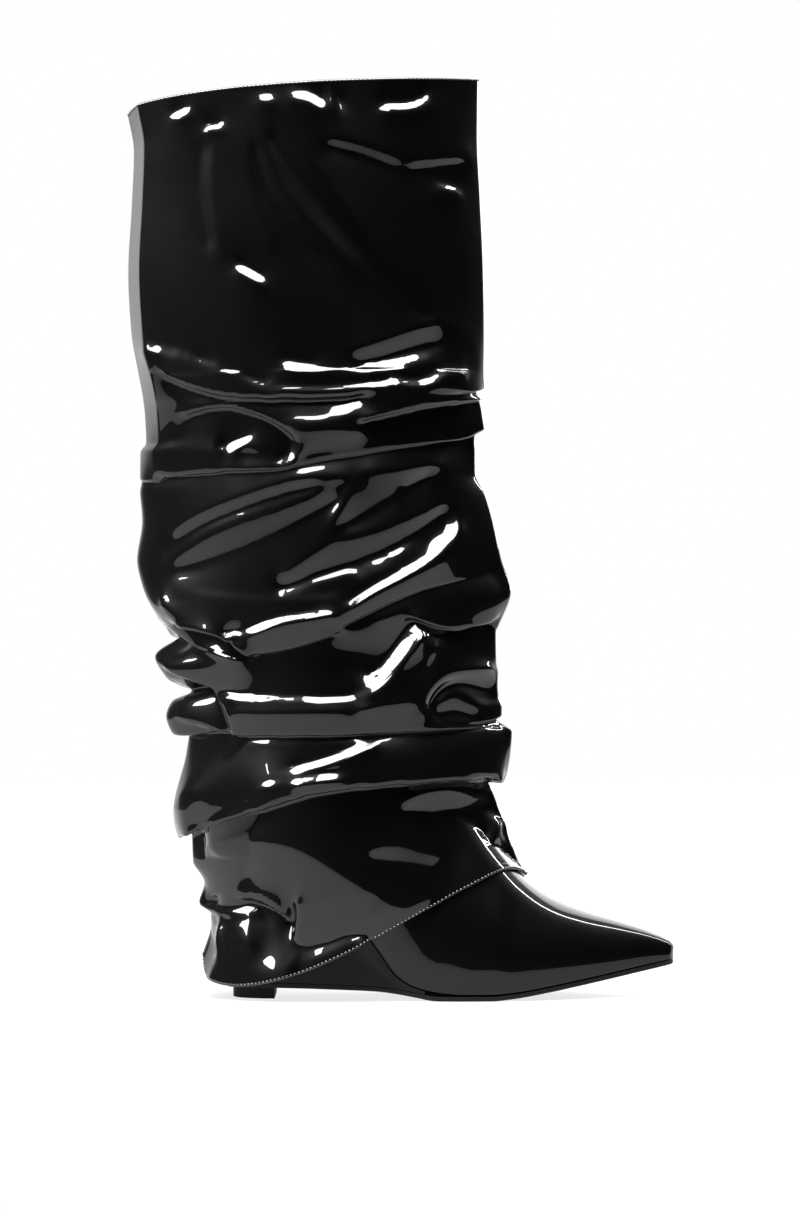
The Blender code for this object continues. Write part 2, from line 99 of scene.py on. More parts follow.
# Plan and side of the last bottom, toe to heel, as in the CAD
SoleStation = namedtuple("SoleStation", "x centre_y half_out half_in tread_z seat_z")
SOLE_STATIONS = [
    SoleStation(237.0, 5.5, 2.0, 2.0, 17.8, 20.6),
    SoleStation(235.0, 5.5, 6.0, 6.0, 17.4, 20.2),
    SoleStation(230.0, 5.3, 9.0, 9.0, 16.4, 19.3),
    SoleStation(220.0, 4.9, 13.5, 13.0, 14.5, 17.5),
    SoleStation(205.0, 4.2, 20.0, 19.0, 11.6, 14.6),
    SoleStation(185.0, 3.3, 28.0, 26.5, 7.8, 10.8),
    SoleStation(165.0, 2.4, 35.0, 33.0, 4.2, 7.2),
    SoleStation(145.0, 1.5, 40.0, 38.5, 1.1, 4.2),
    SoleStation(132.0, 1.0, 41.3, 40.8, 0.0, 3.2),
    SoleStation(118.0, 0.6, 41.5, 41.0, 0.0, 3.2),
    SoleStation(104.0, 0.3, 40.5, 38.5, 0.0, 4.2),
    SoleStation(90.0, 0.1, 37.5, 34.0, 1.9, 7.6),
    SoleStation(80.0, 0.0, 35.0, 31.0, 3.4, 13.5),
    SoleStation(70.0, 0.0, 33.0, 28.5, 4.4, 27.0),
    SoleStation(60.0, 0.0, 31.2, 27.2, 4.8, 40.0),
    SoleStation(50.0, 0.0, 30.0, 26.5, 5.1, 50.5),
    SoleStation(35.0, 0.0, 29.2, 27.0, 5.6, 62.0),
    SoleStation(20.0, 0.0, 28.8, 27.8, 6.0, 70.0),
    SoleStation(5.0, 0.0, 27.8, 27.6, 6.2, 75.0),
    SoleStation(-8.0, 0.0, 25.0, 25.0, 6.2, 78.0),
    SoleStation(-17.0, 0.0, 19.0, 19.0, 6.2, 79.6),
    SoleStation(-22.0, 0.0, 11.0, 11.0, 6.2, 80.3),
    SoleStation(-24.0, 0.0, 3.0, 3.0, 6.2, 80.5),
]

# Sections of the upper from the toe to the collar, as in the CAD
UpperSection = namedtuple("UpperSection", "top_x top_z seat_x back_z half_out half_in side_power")
UPPER_SECTIONS = [
    UpperSection(237.2, 27.0, 237.0, 0.0, 0.0, 0.0, 1.0),
    UpperSection(235.6, 30.0, 235.0, 0.0, 6.4, 6.4, 1.0),
    UpperSection(231.0, 32.8, 229.5, 0.0, 9.9, 9.8, 1.0),
    UpperSection(221.5, 37.0, 219.0, 0.0, 14.9, 14.3, 1.0),
    UpperSection(206.0, 42.3, 202.0, 0.0, 22.3, 21.2, 1.0),
    UpperSection(187.0, 48.4, 182.0, 0.0, 30.6, 29.0, 1.0),
    UpperSection(170.0, 55.5, 162.0, 0.0, 37.6, 35.6, 1.0),
    UpperSection(156.0, 64.6, 143.0, 0.0, 42.0, 40.6, 0.98),
    UpperSection(143.0, 77.0, 124.0, 0.0, 43.6, 43.2, 0.95),
    UpperSection(131.0, 91.5, 104.0, 0.0, 43.0, 41.6, 0.92),
    UpperSection(122.0, 105.0, 84.0, 0.0, 40.5, 38.6, 0.88),
    UpperSection(116.0, 117.0, 64.0, 0.0, 38.6, 37.0, 0.84),
    UpperSection(112.5, 127.0, 44.0, 0.0, 37.4, 36.2, 0.8),
    UpperSection(110.5, 134.0, 24.0, 0.0, 36.8, 36.0, 0.74),
    UpperSection(109.5, 139.0, 4.0, 0.0, 36.2, 35.8, 0.68),
    UpperSection(109.0, 142.0, -12.0, 0.0, 35.6, 35.4, 0.66),
    UpperSection(108.7, 144.0, -24.0, 0.0, 35.2, 35.2, 0.66),
    UpperSection(108.5, 146.0, -25.6, 87.0, 35.0, 35.0, 0.65),
    UpperSection(108.2, 148.0, -26.5, 97.0, 35.0, 35.0, 0.64),
    UpperSection(108.0, 151.0, -26.0, 112.0, 35.2, 35.2, 0.64),
    UpperSection(108.0, 154.0, -22.0, 132.0, 35.6, 35.6, 0.7),
    UpperSection(108.0, 157.0, -18.0, 150.0, 36.0, 36.0, 0.76),
]

# Rings of the slouched shaft from the hem to the collar: front crease to back, with the sag of each side,
# the skew of that sag and the half-widths. They are the CAD's, apart from the four lowest, which are set
# wider here, and from knee_tuck, knee_lip and collar, whose backs sit lower.
ShaftRing = namedtuple(
    "ShaftRing", "name front_x front_z back_x back_z sag_out sag_in skew half_out half_in"
)
SHAFT_RINGS = [
    ShaftRing("hem", 152.8, 68.0, -29.0, 24.0, -13.0, -13.0, 13.0, 47.0, 45.0),
    ShaftRing("heel_flare", 150.6, 73.6, -24.5, 40.0, -14.0, -13.0, 9.0, 47.5, 45.5),
    ShaftRing("heel_tuck", 148.6, 77.5, -25.5, 49.0, -13.0, -11.0, 2.0, 47.5, 45.5),
    ShaftRing("heel_lip", 147.6, 80.0, -31.4, 52.5, -12.0, -10.0, 0.0, 48.0, 46.0),
    ShaftRing("heel_crown", 145.6, 85.5, -28.5, 63.0, -6.0, -4.0, 0.0, 48.0, 45.5),
    ShaftRing("ankle", 140.5, 100.0, -35.0, 76.0, 4.0, 2.0, 0.0, 48.0, 46.5),
    ShaftRing("instep_tuck", 132.6, 119.5, -35.5, 93.0, 14.0, 8.0, 2.0, 44.5, 44.0),
    ShaftRing("instep_lip", 138.7, 119.5, -42.0, 88.5, 13.0, 6.0, 2.0, 49.5, 48.5),
    ShaftRing("instep_crown", 143.0, 127.0, -46.0, 103.0, 12.0, 5.0, 0.0, 51.5, 50.0),
    ShaftRing("instep_top", 145.5, 149.0, -38.7, 136.0, 1.0, 3.0, 0.0, 49.5, 49.0),
    ShaftRing("ear_tuck", 137.0, 156.0, -37.0, 147.5, 0.0, 2.0, 0.0, 45.0, 45.5),
    ShaftRing("ear_lip", 139.8, 158.0, -45.0, 147.0, -3.5, -2.0, 0.0, 51.0, 50.0),
    ShaftRing("ear_swell", 139.8, 163.0, -50.0, 157.5, -1.0, 0.0, 0.0, 51.5, 50.5),
    ShaftRing("ear_crown", 138.0, 168.0, -46.6, 166.0, 2.0, 3.0, 0.0, 50.0, 50.0),
    ShaftRing("roll_tuck", 137.4, 175.0, -35.8, 171.5, 4.0, 2.0, 0.0, 45.5, 46.0),
    ShaftRing("roll_lip", 137.6, 182.0, -50.0, 180.0, 1.0, 1.0, 2.0, 47.0, 48.0),
    ShaftRing("roll_swell", 136.6, 190.0, -56.2, 191.0, -4.0, 0.0, 4.0, 47.5, 49.5),
    ShaftRing("calf_tuck", 136.4, 205.0, -42.0, 204.5, -2.0, -1.0, 6.0, 45.5, 46.0),
    ShaftRing("calf_lip", 138.0, 209.0, -47.0, 209.5, -8.0, -4.0, 7.0, 51.0, 50.0),
    ShaftRing("calf_swell", 144.9, 228.0, -55.0, 217.5, -15.0, -10.0, 6.0, 52.5, 51.0),
    ShaftRing("calf_crown", 139.5, 246.0, -59.0, 225.0, -22.0, -14.0, 7.0, 50.5, 50.5),
    ShaftRing("slant_low", 134.2, 270.0, -63.5, 234.0, -24.0, -14.0, 6.0, 50.0, 50.0),
    ShaftRing("slant_swell", 130.0, 284.0, -66.4, 246.0, -10.0, -6.0, 2.0, 52.0, 51.5),
    ShaftRing("slant_crown", 125.0, 295.0, -63.5, 268.0, 3.0, 2.0, 0.0, 52.0, 51.0),
    ShaftRing("knee_low", 124.8, 306.0, -64.7, 284.0, 0.0, 0.0, 0.0, 50.0, 50.0),
    ShaftRing("knee_tuck", 125.3, 317.0, -63.8, 290.0, -3.0, -2.0, 0.0, 47.5, 47.0),
    ShaftRing("knee_lip", 130.0, 320.0, -64.7, 292.0, -6.5, -4.0, 0.0, 52.0, 51.0),
    ShaftRing("knee_ledge", 129.0, 327.0, -64.5, 306.5, -3.0, -2.0, 0.0, 51.5, 51.0),
    ShaftRing("cuff_recess", 128.0, 334.0, -61.3, 312.0, 0.0, 0.0, 0.0, 49.5, 49.5),
    ShaftRing("cuff_tuck", 126.6, 341.5, -62.0, 328.0, 0.0, 0.0, 0.0, 49.0, 48.5),
    ShaftRing("cuff_lip", 130.2, 343.5, -63.2, 338.0, -4.0, -3.0, 0.0, 50.5, 50.0),
    ShaftRing("cuff_crown", 129.8, 352.0, -65.8, 352.0, -2.0, -2.0, 0.0, 50.5, 50.0),
    ShaftRing("shaft_low", 130.0, 374.0, -69.6, 374.0, 0.0, 0.0, 0.0, 49.5, 49.0),
    ShaftRing("shaft_mid", 129.4, 410.0, -71.4, 408.0, 0.0, 0.0, 0.0, 48.5, 48.0),
    ShaftRing("shaft_high", 127.6, 450.0, -69.4, 446.0, 0.0, 0.0, 0.0, 46.5, 46.5),
    ShaftRing("shaft_top", 126.0, 486.0, -68.2, 476.0, 2.0, 2.0, 0.0, 45.0, 45.0),
    ShaftRing("collar", 126.3, 517.0, -71.5, 496.5, 3.6, 3.6, -2.0, 43.5, 43.5),
]
FOLDED_BELOW = "cuff_crown"

# Plan of the shaft: pressed to creases at the front and, where it is folded, at the back. Above, the back
# is blunt: flat sides run to two corners, at a share of the full width, with a narrow strip between them.
FRONT_CREASE_POWER = 1.7
BACK_CREASE_POWER = 1.5
CORNER_SHARE = 0.48
STRIP_SLOPE = 3.3
STRIP_RISE = (285.0, 350.0)

# Shaft mesh: spacing along and around, how far the rings' own folds reach in from the front and back
# creases, the width over which they are evened out between, and over which hem and collar keep theirs
ROW_STEP = 1.4
TOP_ROW_STEP = 1.6
OUTER_COLUMNS = 176
INNER_COLUMNS = 92
STEPS_PER_COLUMN = 8
CREASE_REACH = (0.35, 0.85)
CALM_WIDTH = 24.0
END_HOLD = 15.0

# Creases on the outer side, after the photograph: each line holds the skin out from its even
# form, or in where negative, along a path of (x, z) points. A shelf is a fold's lower edge, with its lip on
# the left of the path and the tuck under it on the right.
Crease = namedtuple("Crease", "name out path")
Shelf = namedtuple("Shelf", "name lip tuck path")
CREASES = [
    # Upper shaft: dents under the collar, long drapes, two shallow dents at the front
    Crease("collar_dent_hollow", -1.8, [(21, 507), (32, 506), (42, 500)]),
    Crease("collar_dent", 2.2, [(20, 502), (30, 501), (39, 495)]),
    Crease("short_dent_hollow", -1.8, [(45, 506), (50, 498)]),
    Crease("short_dent", 2.0, [(41, 503), (46, 495)]),
    Crease("crescent_hollow", -1.8, [(71, 500), (86, 501), (98, 507)]),
    Crease("crescent", 2.2, [(72, 496), (88, 497), (101, 502)]),
    Crease("back_spot_hollow", -1.6, [(-45, 495), (-35, 497)]),
    Crease("back_spot", 2.0, [(-44, 492), (-34, 494)]),
    Crease("middle_spot_hollow", -2.0, [(2, 505), (13, 505)]),
    Crease("middle_spot", 2.4, [(2, 501), (13, 501)]),
    Crease("drape_spot_hollow", -1.8, [(-26, 488), (-17, 488)]),
    Crease("drape_spot", 1.8, [(-26, 484), (-17, 484)]),
    Crease("front_spot_hollow", -2.0, [(102, 457), (116, 456)]),
    Crease("front_spot", 2.2, [(102, 453), (116, 452)]),
    Crease("drape_back", 0.8, [(-20, 486), (-22, 450), (-17, 412)]),
    Crease("drape_back_foot", -0.6, [(-28, 478), (-29, 450), (-24, 420)]),
    Crease("drape_middle", 0.8, [(-2, 492), (0, 452), (11, 420)]),
    Crease("drape_front", 1.0, [(4, 487), (18, 449), (59, 406)]),
    Crease("drape_front_foot", -0.6, [(0, 474), (13, 442), (45, 408)]),
    Crease("drape_long", 1.0, [(15, 490), (43, 454), (73, 415), (114, 377)]),
    Crease("drape_long_foot", -0.8, [(10, 481), (36, 446), (66, 410), (100, 379)]),
    Crease("front_dent_high", 1.4, [(38, 480), (62, 477), (84, 468)]),
    Crease("front_dent_high_foot", -1.2, [(42, 475), (60, 469), (82, 463)]),
    Crease("front_dent_low", 1.6, [(85, 467), (102, 471), (122, 473)]),
    Crease("front_dent_low_foot", -1.4, [(87, 462), (105, 465), (120, 469)]),
    Crease("knee_dent_hollow", -1.8, [(-8, 411), (8, 402)]),
    Crease("knee_dent", 2.0, [(-9, 406), (6, 397)]),
    # Cuff: a soft roll round the whole leg, with a small curl at the front
    Crease("cuff_brow", 1.6, [(56, 361), (70, 366), (86, 373), (104, 380), (115, 376), (124, 365)]),
    Crease("cuff_hollow", -1.4, [(17, 356), (37, 355)]),
    Crease("cuff_front_hollow", -2.8, [(58, 355), (70, 357), (84, 361), (105, 367)]),
    Crease("cuff_crest", 2.2, [(17, 351), (45, 348), (66, 349), (84, 352), (102, 357)]),
    Crease("cuff_back_hollow", 0.4, [(-60, 367), (-38, 362), (-18, 355), (-3, 349), (10, 344)]),
    Crease("cuff_back_dent", -1.4, [(-33, 360), (-19, 355)]),
    Crease("cuff_middle_dent", -0.4, [(-5, 349), (10, 344)]),
    Crease("cuff_back", 2.2, [(-62, 362), (-38, 357), (-18, 350), (-5, 344), (10, 339)]),
    Crease("curl_hollow", 2.0, [(76, 348), (88, 346), (95, 348), (102, 353), (112, 356)]),
    Crease("curl", 6.4, [(75, 343), (89, 341), (99, 343), (107, 348), (116, 350)]),
    Crease("cuff_groove", 2.0, [(8, 342), (43, 341), (76, 345)]),
    Crease("cuff_edge", 4.5, [(12, 338), (43, 338), (76, 342)]),
    # Knee: a bulging panel in front, a lens-shaped pocket with a bump behind
    Crease("panel_hollow", 0.0, [(16, 325), (42, 326)]),
    Crease("panel_dent", -1.8, [(46, 331), (54, 332)]),
    Crease("panel_crest", 1.8, [(18, 321), (43, 322), (54, 326)]),
    Crease("panel_brow", 2.2, [(22, 317), (44, 318), (60, 316)]),
    Crease("panel_foot", -1.4, [(24, 302), (48, 306), (80, 311)]),
    Crease("bump_hollow", -3.0, [(-20, 308), (-10, 312), (0, 315)]),
    Crease("bump", -0.2, [(-18, 302), (-9, 306), (-2, 309), (7, 303)]),
    Crease("pocket_floor", -1.6, [(-8, 304), (8, 303)]),
    Crease("ledge_hollow", 0.2, [(-62, 308), (-40, 309), (-17, 309)]),
    Crease("ledge", 1.0, [(-62, 306), (-40, 306), (-16, 306)]),
    # Calf: one long finger over a belly, two slanting folds and a curved one in front
    Crease("finger_top", 0.0, [(-46, 261), (-30, 270), (-8, 279), (14, 287), (36, 291), (54, 291)]),
    Crease("finger_channel", -3.2, [(-52, 251), (-30, 265), (-8, 274), (14, 281), (35, 286)]),
    Crease("finger_low", -1.4, [(-54, 241), (-30, 258), (-8, 267), (14, 274), (36, 282), (54, 287)]),
    Crease("belly_top", -4.0, [(-46, 239), (-30, 243), (-8, 251), (14, 260), (36, 271), (49, 278)]),
    Crease("bend", 0.2, [(58, 290), (52, 279), (45, 266)]),
    Crease("slant_high", 0.2, [(60, 293), (82, 296), (107, 299)]),
    Crease("slant_high_foot", -3.4, [(50, 263), (66, 271), (81, 281)]),
    Crease("slant_high_end", -4.6, [(86, 284), (101, 293)]),
    Crease("slant_low", -1.0, [(17, 235), (32, 247), (48, 257), (66, 260), (88, 269), (109, 279)]),
    Crease("slant_low_foot", -4.8, [(14, 229), (38, 237), (54, 242), (81, 253), (96, 262), (111, 273)]),
    Crease("slant_step", -1.8, [(20, 228), (40, 234), (57, 239)]),
    Crease("crinkle_low", -1.0, [(57, 231), (73, 238), (91, 243)]),
    Crease("crinkle_high", -2.4, [(64, 240), (79, 247), (91, 254)]),
    Crease("curve_hollow", -1.4, [(52, 222), (66, 231), (82, 240), (98, 250), (108, 261)]),
    Crease("curve_hollow_top", -3.8, [(97, 252), (107, 262), (112, 270)]),
    Crease("curve", 2.4, [(55, 217), (68, 226), (85, 235), (100, 244), (111, 254), (117, 265)]),
    Crease("front_roll_top", -1.8, [(70, 211), (94, 221), (115, 227), (141, 232)]),
    Crease("belly_crease", -1.0, [(-58, 237), (-30, 230), (11, 226), (48, 228)]),
    Crease("belly_under", 0.4, [(-55, 232), (-30, 226), (11, 222), (48, 224)]),
    Crease("belly_streak_hollow", 0.6, [(-2, 208), (14, 214), (36, 218)]),
    Crease("belly_streak", 4.2, [(0, 203), (14, 209), (29, 212), (46, 214)]),
    Crease("belly_left", 4.6, [(-50, 224), (-42, 215), (-29, 210)]),
    Crease("belly_spot_hollow", 0.6, [(-17, 206), (-6, 207)]),
    Crease("belly_spot", 3.4, [(-16, 202), (-5, 202)]),
    # Ankle: a roll at the back, the long crown that sweeps up to the front, an almond in front of it
    Crease("back_roll", 3.4, [(-36, 196), (-24, 195), (-6, 189)]),
    Crease("back_roll_foot", 2.0, [(-40, 191), (-26, 191), (-8, 185)]),
    Crease("crown_hollow", -0.4, [(-20, 173), (0, 171), (48, 170), (59, 173)]),
    Crease("crown", 1.7, [(-20, 169), (0, 167), (48, 166), (60, 168)]),
    Crease("sweep_hollow", -2.8, [(66, 181), (77, 193), (80, 198)]),
    Crease("sweep_hollow_top", -3.8, [(74, 189), (83, 202), (91, 214)]),
    Crease("sweep", 5.0, [(64, 169), (73, 175), (82, 187), (86, 193)]),
    Crease("sweep_top", 6.2, [(79, 183), (88, 196), (94, 205)]),
    Crease("sweep_side", 4.6, [(88, 178), (95, 189), (101, 198)]),
    Crease("crown_low", 3.0, [(-11, 160), (40, 161), (52, 161)]),
    Crease("crown_front", 5.2, [(60, 162), (76, 165), (88, 166)]),
    Crease("almond_brow", 2.4, [(94, 158), (95, 166), (101, 175), (111, 182), (134, 185)]),
    Crease("almond_hollow", -2.6, [(99, 163), (106, 173), (118, 177), (134, 172)]),
    Crease("almond_lens", -0.4, [(103, 165), (114, 171), (124, 166), (134, 159)]),
    Crease("almond_floor", -2.8, [(102, 159), (114, 161), (125, 158)]),
    Crease("under_ear", -2.0, [(-5, 142), (20, 142), (46, 143), (60, 145)]),
    Crease("low_streak_hollow", -1.4, [(22, 131), (40, 136), (60, 143)]),
    Crease("low_streak", 2.6, [(24, 126), (42, 131), (57, 137), (68, 142)]),
    Crease("low_blob_hollow", 2.2, [(4, 123), (28, 127), (50, 129)]),
    Crease("front_blob", 6.4, [(25, 120), (38, 122), (50, 123)]),
    Crease("back_blob", 4.4, [(5, 118), (17, 120)]),
    Crease("back_crest", 3.4, [(-33, 99), (-16, 105), (3, 110)]),
    Crease("instep_crest", 5.0, [(11, 113), (30, 118), (51, 122), (105, 127), (132, 126)]),
    Crease("back_patch", 3.4, [(-41, 113), (-33, 115), (-26, 112)]),
    # Heel and instep: the broad heel fold, the flared heel panel, a shallow lens and a pinch in front
    Crease("lens_brow", -0.2, [(84, 109), (94, 115), (108, 118), (136, 117)]),
    Crease("lens_foot", -3.4, [(86, 107), (110, 104), (138, 106)]),
    Crease("heel_fold", 1.4, [(-22, 85), (0, 89), (25, 85), (55, 68), (87, 50)]),
    Crease("heel_fold_crease", -0.4, [(-2, 78), (-5, 66)]),
    Crease("heel_fold_front", 1.2, [(54, 62), (66, 53), (71, 44)]),
    Crease("heel_pinch", -7.0, [(22, 53), (21, 46), (20, 39)]),
    Crease("heel_pinch_side", 1.4, [(27, 56), (25, 48), (24, 38)]),
    Crease("heel_panel_top", 0.4, [(-18, 49), (-8, 49), (1, 48)]),
    Crease("heel_panel_hollow", -3.0, [(2, 47), (13, 43)]),
    Crease("heel_panel_crest", 7.6, [(-9, 33), (-3, 33), (4, 32)]),
    Crease("heel_edge", 9.0, [(-16, 38), (-14, 28), (-12, 18)]),
    Crease("heel_hem", 8.6, [(-20, 12), (0, 10), (18, 13), (25, 16)]),
    Crease("middle_hem", 3.4, [(22, 15), (40, 23), (55, 32), (66, 36)]),
    Crease("instep_patch", 0.6, [(64, 84), (80, 89), (96, 86), (116, 75)]),
    Crease("instep_patch_foot", -0.4, [(66, 80), (90, 75), (114, 73)]),
    Crease("pinch_top", -3.0, [(124, 97), (131, 94), (133, 87)]),
    Crease("pinch_fold", 1.6, [(126, 89), (131, 85), (139, 99)]),
    Crease("pinch_low", -2.8, [(127, 82), (143, 79)]),
    Crease("pinch_front", -2.6, [(141, 98), (144, 87)]),
]
SHELVES = [
    Shelf("cuff_lip", 3.4, -2.6, [(-50, 349), (-34, 342), (-15, 337), (12, 335), (43, 335), (62, 337)]),
    Shelf("front_cuff", 5.4, -2.0, [(61, 323), (77, 327), (98, 332), (129, 337)]),
    Shelf("pocket_lip", 0.4, -3.2, [
        (-40, 326), (-18, 331), (1, 327), (14, 321), (24, 312), (22, 302), (13, 298),
    ]),
    Shelf("knee_back_shelf", 1.0, -2.4, [(-56, 293), (-29, 295), (11, 296), (24, 298)]),
    Shelf("knee_shelf", -1.6, -3.2, [(24, 298), (40, 301), (63, 305), (124, 315)]),
    Shelf("small_pocket", -0.6, -1.6, [(-54, 288), (-48, 291), (-16, 293)]),
    Shelf("front_slant_lip", -2.2, -3.4, [
        (51, 209), (65, 216), (82, 224), (97, 230), (116, 235), (138, 240),
    ]),
    Shelf("front_roll_lip", 1.2, -3.2, [(88, 214), (105, 208), (118, 208), (137, 212)]),
    Shelf("belly_lip", 1.0, -3.2, [(-1, 193), (22, 197), (47, 205)]),
    Shelf("back_fold", 6.4, -4.6, [(-41, 209), (-22, 206), (-10, 200), (0, 191)]),
    Shelf("back_roll_lip", 0.4, -0.8, [(-50, 184), (-32, 178), (-24, 175)]),
    Shelf("ear_pocket", 0.8, -2.8, [(-24, 175), (-18, 165), (-14, 155), (-12, 148)]),
    Shelf("ear_lip", 0.2, -2.4, [(-45, 156), (-33, 154), (-15, 149)]),
    Shelf("ear_shelf", 0.6, -3.8, [(-13, 148), (55, 149), (91, 151), (142, 153)]),
    Shelf("instep_shelf", 5.8, -3.2, [
        (-35, 92), (-16, 100), (11, 109), (30, 115), (51, 119), (105, 123), (138, 122),
    ]),
    Shelf("heel_fold_lip", 2.2, -6.4, [(-28, 57), (-1, 56), (11, 52), (20, 47)]),
    Shelf("heel_fold_low", 0.4, -1.6, [(20, 37), (28, 33), (42, 35), (54, 39), (69, 37)]),
]
# The inner side is out of sight: it takes the outer side's creases, drifted by these waves
DRIFT = 6.0
DRIFT_WAVE = 41.0

# How lines hold the skin: sample step, pull of a line and of the even form, length over which an end lets
# go and the share that it keeps, a shelf's lip to tuck spacing, the drop of its lip and the lift of its tuck
LINE_STEP = 0.6
LINE_PULL = 8.0
REST_PULL = 0.003
END_FADE = 7.0
END_SHARE = 0.05
SHELF_SPACING = 3.0
LIP_DROP = 2.6
TUCK_LIFT = 1.2

# Solve for the skin: smallest cell that a line can hold and how far from a grid's end the last one starts,
# the coarsest grid, rounds on each grid and rounding after them
LEAST_CELL = 1e-6
LAST_CELL = 1.001
COARSEST_GRID = 12
RELAX_ROUNDS = 160
ROUNDING_PASSES = 2

# Turned edges, lining and stitches, with the steps of their meshes
EDGE_FOLD = 1.7
EDGE_TURN_STEPS = 6
FACING_DEPTH = 14.0
LINING_INSET = 3.0
LINING_FOOT_Z = 165.0
LINING_ROW_STRIDE = 3
LINING_COLUMN_STRIDE = 2
LINING_OVERLAP_ROWS = 3
STITCH_SPACING = 2.4
STITCH_LENGTH = 1.5
STITCH_RADIUS = 0.65
STITCH_TIP = 0.02
STITCH_SIDES = 8
STITCH_RINGS = 5
TANGENT_STEP = 1.0

# Grained surfaces: colour, range of the roughness, scale and depth of the grain, specular level
Finish = namedtuple("Finish", "name colour low high grain_scale grain_depth specular")
COVER_FINISH = Finish("wedge_cover", (0.004, 0.004, 0.0044), 0.28, 0.4, 900.0, 0.00004, 0.18)
SOLE_FINISH = Finish("sole", (0.004, 0.004, 0.0044), 0.4, 0.55, 700.0, 0.00008, 0.2)
RUBBER_FINISH = Finish("rubber", (0.004, 0.004, 0.004), 0.6, 0.8, 500.0, 0.0001, 0.2)
THREAD_FINISH = Finish("thread", (0.006, 0.006, 0.007), 0.06, 0.1, 2400.0, 0.00002, 0.8)
CLOUDS_PER_GRAIN = 8

# Studio, in metres: the floor, and brightness that goes from low to high between two places. The walls are
# seen in reflections alone, and their places are parts of a unit direction.
Fade = namedtuple("Fade", "start end low high")
WHITE = (1, 1, 1, 1)
FLOOR_CORNERS = [(-1.0, -1.3, 0), (1.4, -1.3, 0), (1.4, 3, 0), (-1.0, 3, 0)]
FLOOR_COLOUR = (0.1, 0.1, 0.1)
FLOOR_ROUGHNESS = 0.7
FLOOR_GLOW = Fade(-1.2, 0.6, 0.35, 1.0)
BACK_WALL = Fade(0.45, 0.75, 0.012, 0.8)
LEFT_WALL = Fade(-0.9, 0.1, 0.12, 0.0)

# Softboxes, in metres: centre, point aimed at, width and height, brightness; most show in gloss alone
Softbox = namedtuple("Softbox", "name place target size radiance only_gloss")
SOFTBOXES = [
    Softbox("strip", (0.08, -0.3, 1.9), (0.08, 0.0, 0.25), (1.8, 0.6), 32.0, False),
    Softbox("front", (0.2, -1.05, 1.9), (0.2, 0.0, 0.25), (1.5, 0.9), 26.0, True),
    Softbox("side", (-1.42, -0.7, 1.4), (0.08, 0.0, 0.2), (1.0, 0.87), 30.0, True),
    Softbox("toe", (1.21, 0.49, 1.6), (0.15, 0.0, 0.05), (0.07, 2.1), 50.0, True),
    Softbox("corner", (-0.86, -0.55, 1.88), (0.08, 0.0, 0.2), (0.88, 0.63), 30.0, True),
    Softbox("back", (0.89, 1.97, 1.2), (0.15, 0.0, 0.1), (1.6, 2.0), 4.6, True),
]


def smooth(stations, values, at):
    """Values at places along a table, on a monotone cubic through its rows."""
    order = np.argsort(stations)
    x = np.asarray(stations, float)[order]
    y = np.asarray(values, float)[order]
    step = np.diff(x)
    slope = np.diff(y) / step
    tangent = np.zeros_like(y)
    tangent[0], tangent[-1] = slope[0], slope[-1]
    for i in range(1, len(x) - 1):
        if slope[i - 1] * slope[i] > 0:
            weight_a = 2 * step[i] + step[i - 1]
            weight_b = step[i] + 2 * step[i - 1]
            tangent[i] = (weight_a + weight_b) / (weight_a / slope[i - 1] + weight_b / slope[i])
    i = np.clip(np.searchsorted(x, at) - 1, 0, len(x) - 2)
    t = np.clip((at - x[i]) / step[i], 0, 1)
    return (
        (1 + 2 * t) * (1 - t) ** 2 * y[i]
        + t * (1 - t) ** 2 * step[i] * tangent[i]
        + t * t * (3 - 2 * t) * y[i + 1]
        - t * t * (1 - t) * step[i] * tangent[i + 1]
    )


def ease(low, high, value):
    """0 below low, 1 above high and a soft step between."""
    t = np.clip((value - low) / (high - low), 0, 1)
    return t * t * (3 - 2 * t)


def grid_mesh(name, *grids, closed_around=False, filled=False):
    """A smooth-shaded mesh in metres from grids of points in millimetres, with filled ends where asked."""
    points, faces = [], []
    for grid in grids:
        rows, columns = grid.shape[:2]
        index = np.arange(rows * columns).reshape(rows, columns) + len(points)
        left = index if closed_around else index[:, :-1]
        right = np.roll(index, -1, axis=1) if closed_around else index[:, 1:]
        faces += np.stack([left[:-1], right[:-1], right[1:], left[1:]], axis=-1).reshape(-1, 4).tolist()
        if filled:
            faces += [index[0, ::-1].tolist(), index[-1].tolist()]
        points += (grid.reshape(-1, 3) * METRES_PER_MM).tolist()
    mesh = bpy.data.meshes.new(name)
    mesh.from_pydata(points, [], faces)
    mesh.shade_smooth()
    return mesh


def add_piece(name, mesh, material, replaces=()):
    """Links a mesh as a piece that rides on the boot and stands for the named CAD nodes."""
    piece = bpy.data.objects.new(name, mesh)
    piece.data.materials.append(material)
    bpy.context.scene.collection.objects.link(piece)
    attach(piece, "root")
    if replaces:
        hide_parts(*replaces)
    return piece


def add_tube(name, points, material, replaces=()):
    """Links a piece that is closed around and open at its ends."""
    add_piece(name, grid_mesh(name, points, closed_around=True), material, replaces)


def new_material(name, colour, roughness):
    """A plain principled material and its parts, for finishing."""
    material = bpy.data.materials.new(name)
    material.use_nodes = True
    tree = material.node_tree
    shader = tree.nodes["Principled BSDF"]
    shader.inputs["Base Color"].default_value = (*colour, 1.0)
    shader.inputs["Roughness"].default_value = roughness
    return material, tree, shader


def noise(tree, scale, detail):
    """A noise texture on the boot's own coordinates, in metres."""
    place = tree.nodes.new("ShaderNodeTexCoord")
    texture = tree.nodes.new("ShaderNodeTexNoise")
    texture.inputs["Scale"].default_value = scale
    texture.inputs["Detail"].default_value = detail
    tree.links.new(place.outputs["Object"], texture.inputs["Vector"])
    return texture.outputs["Fac"]


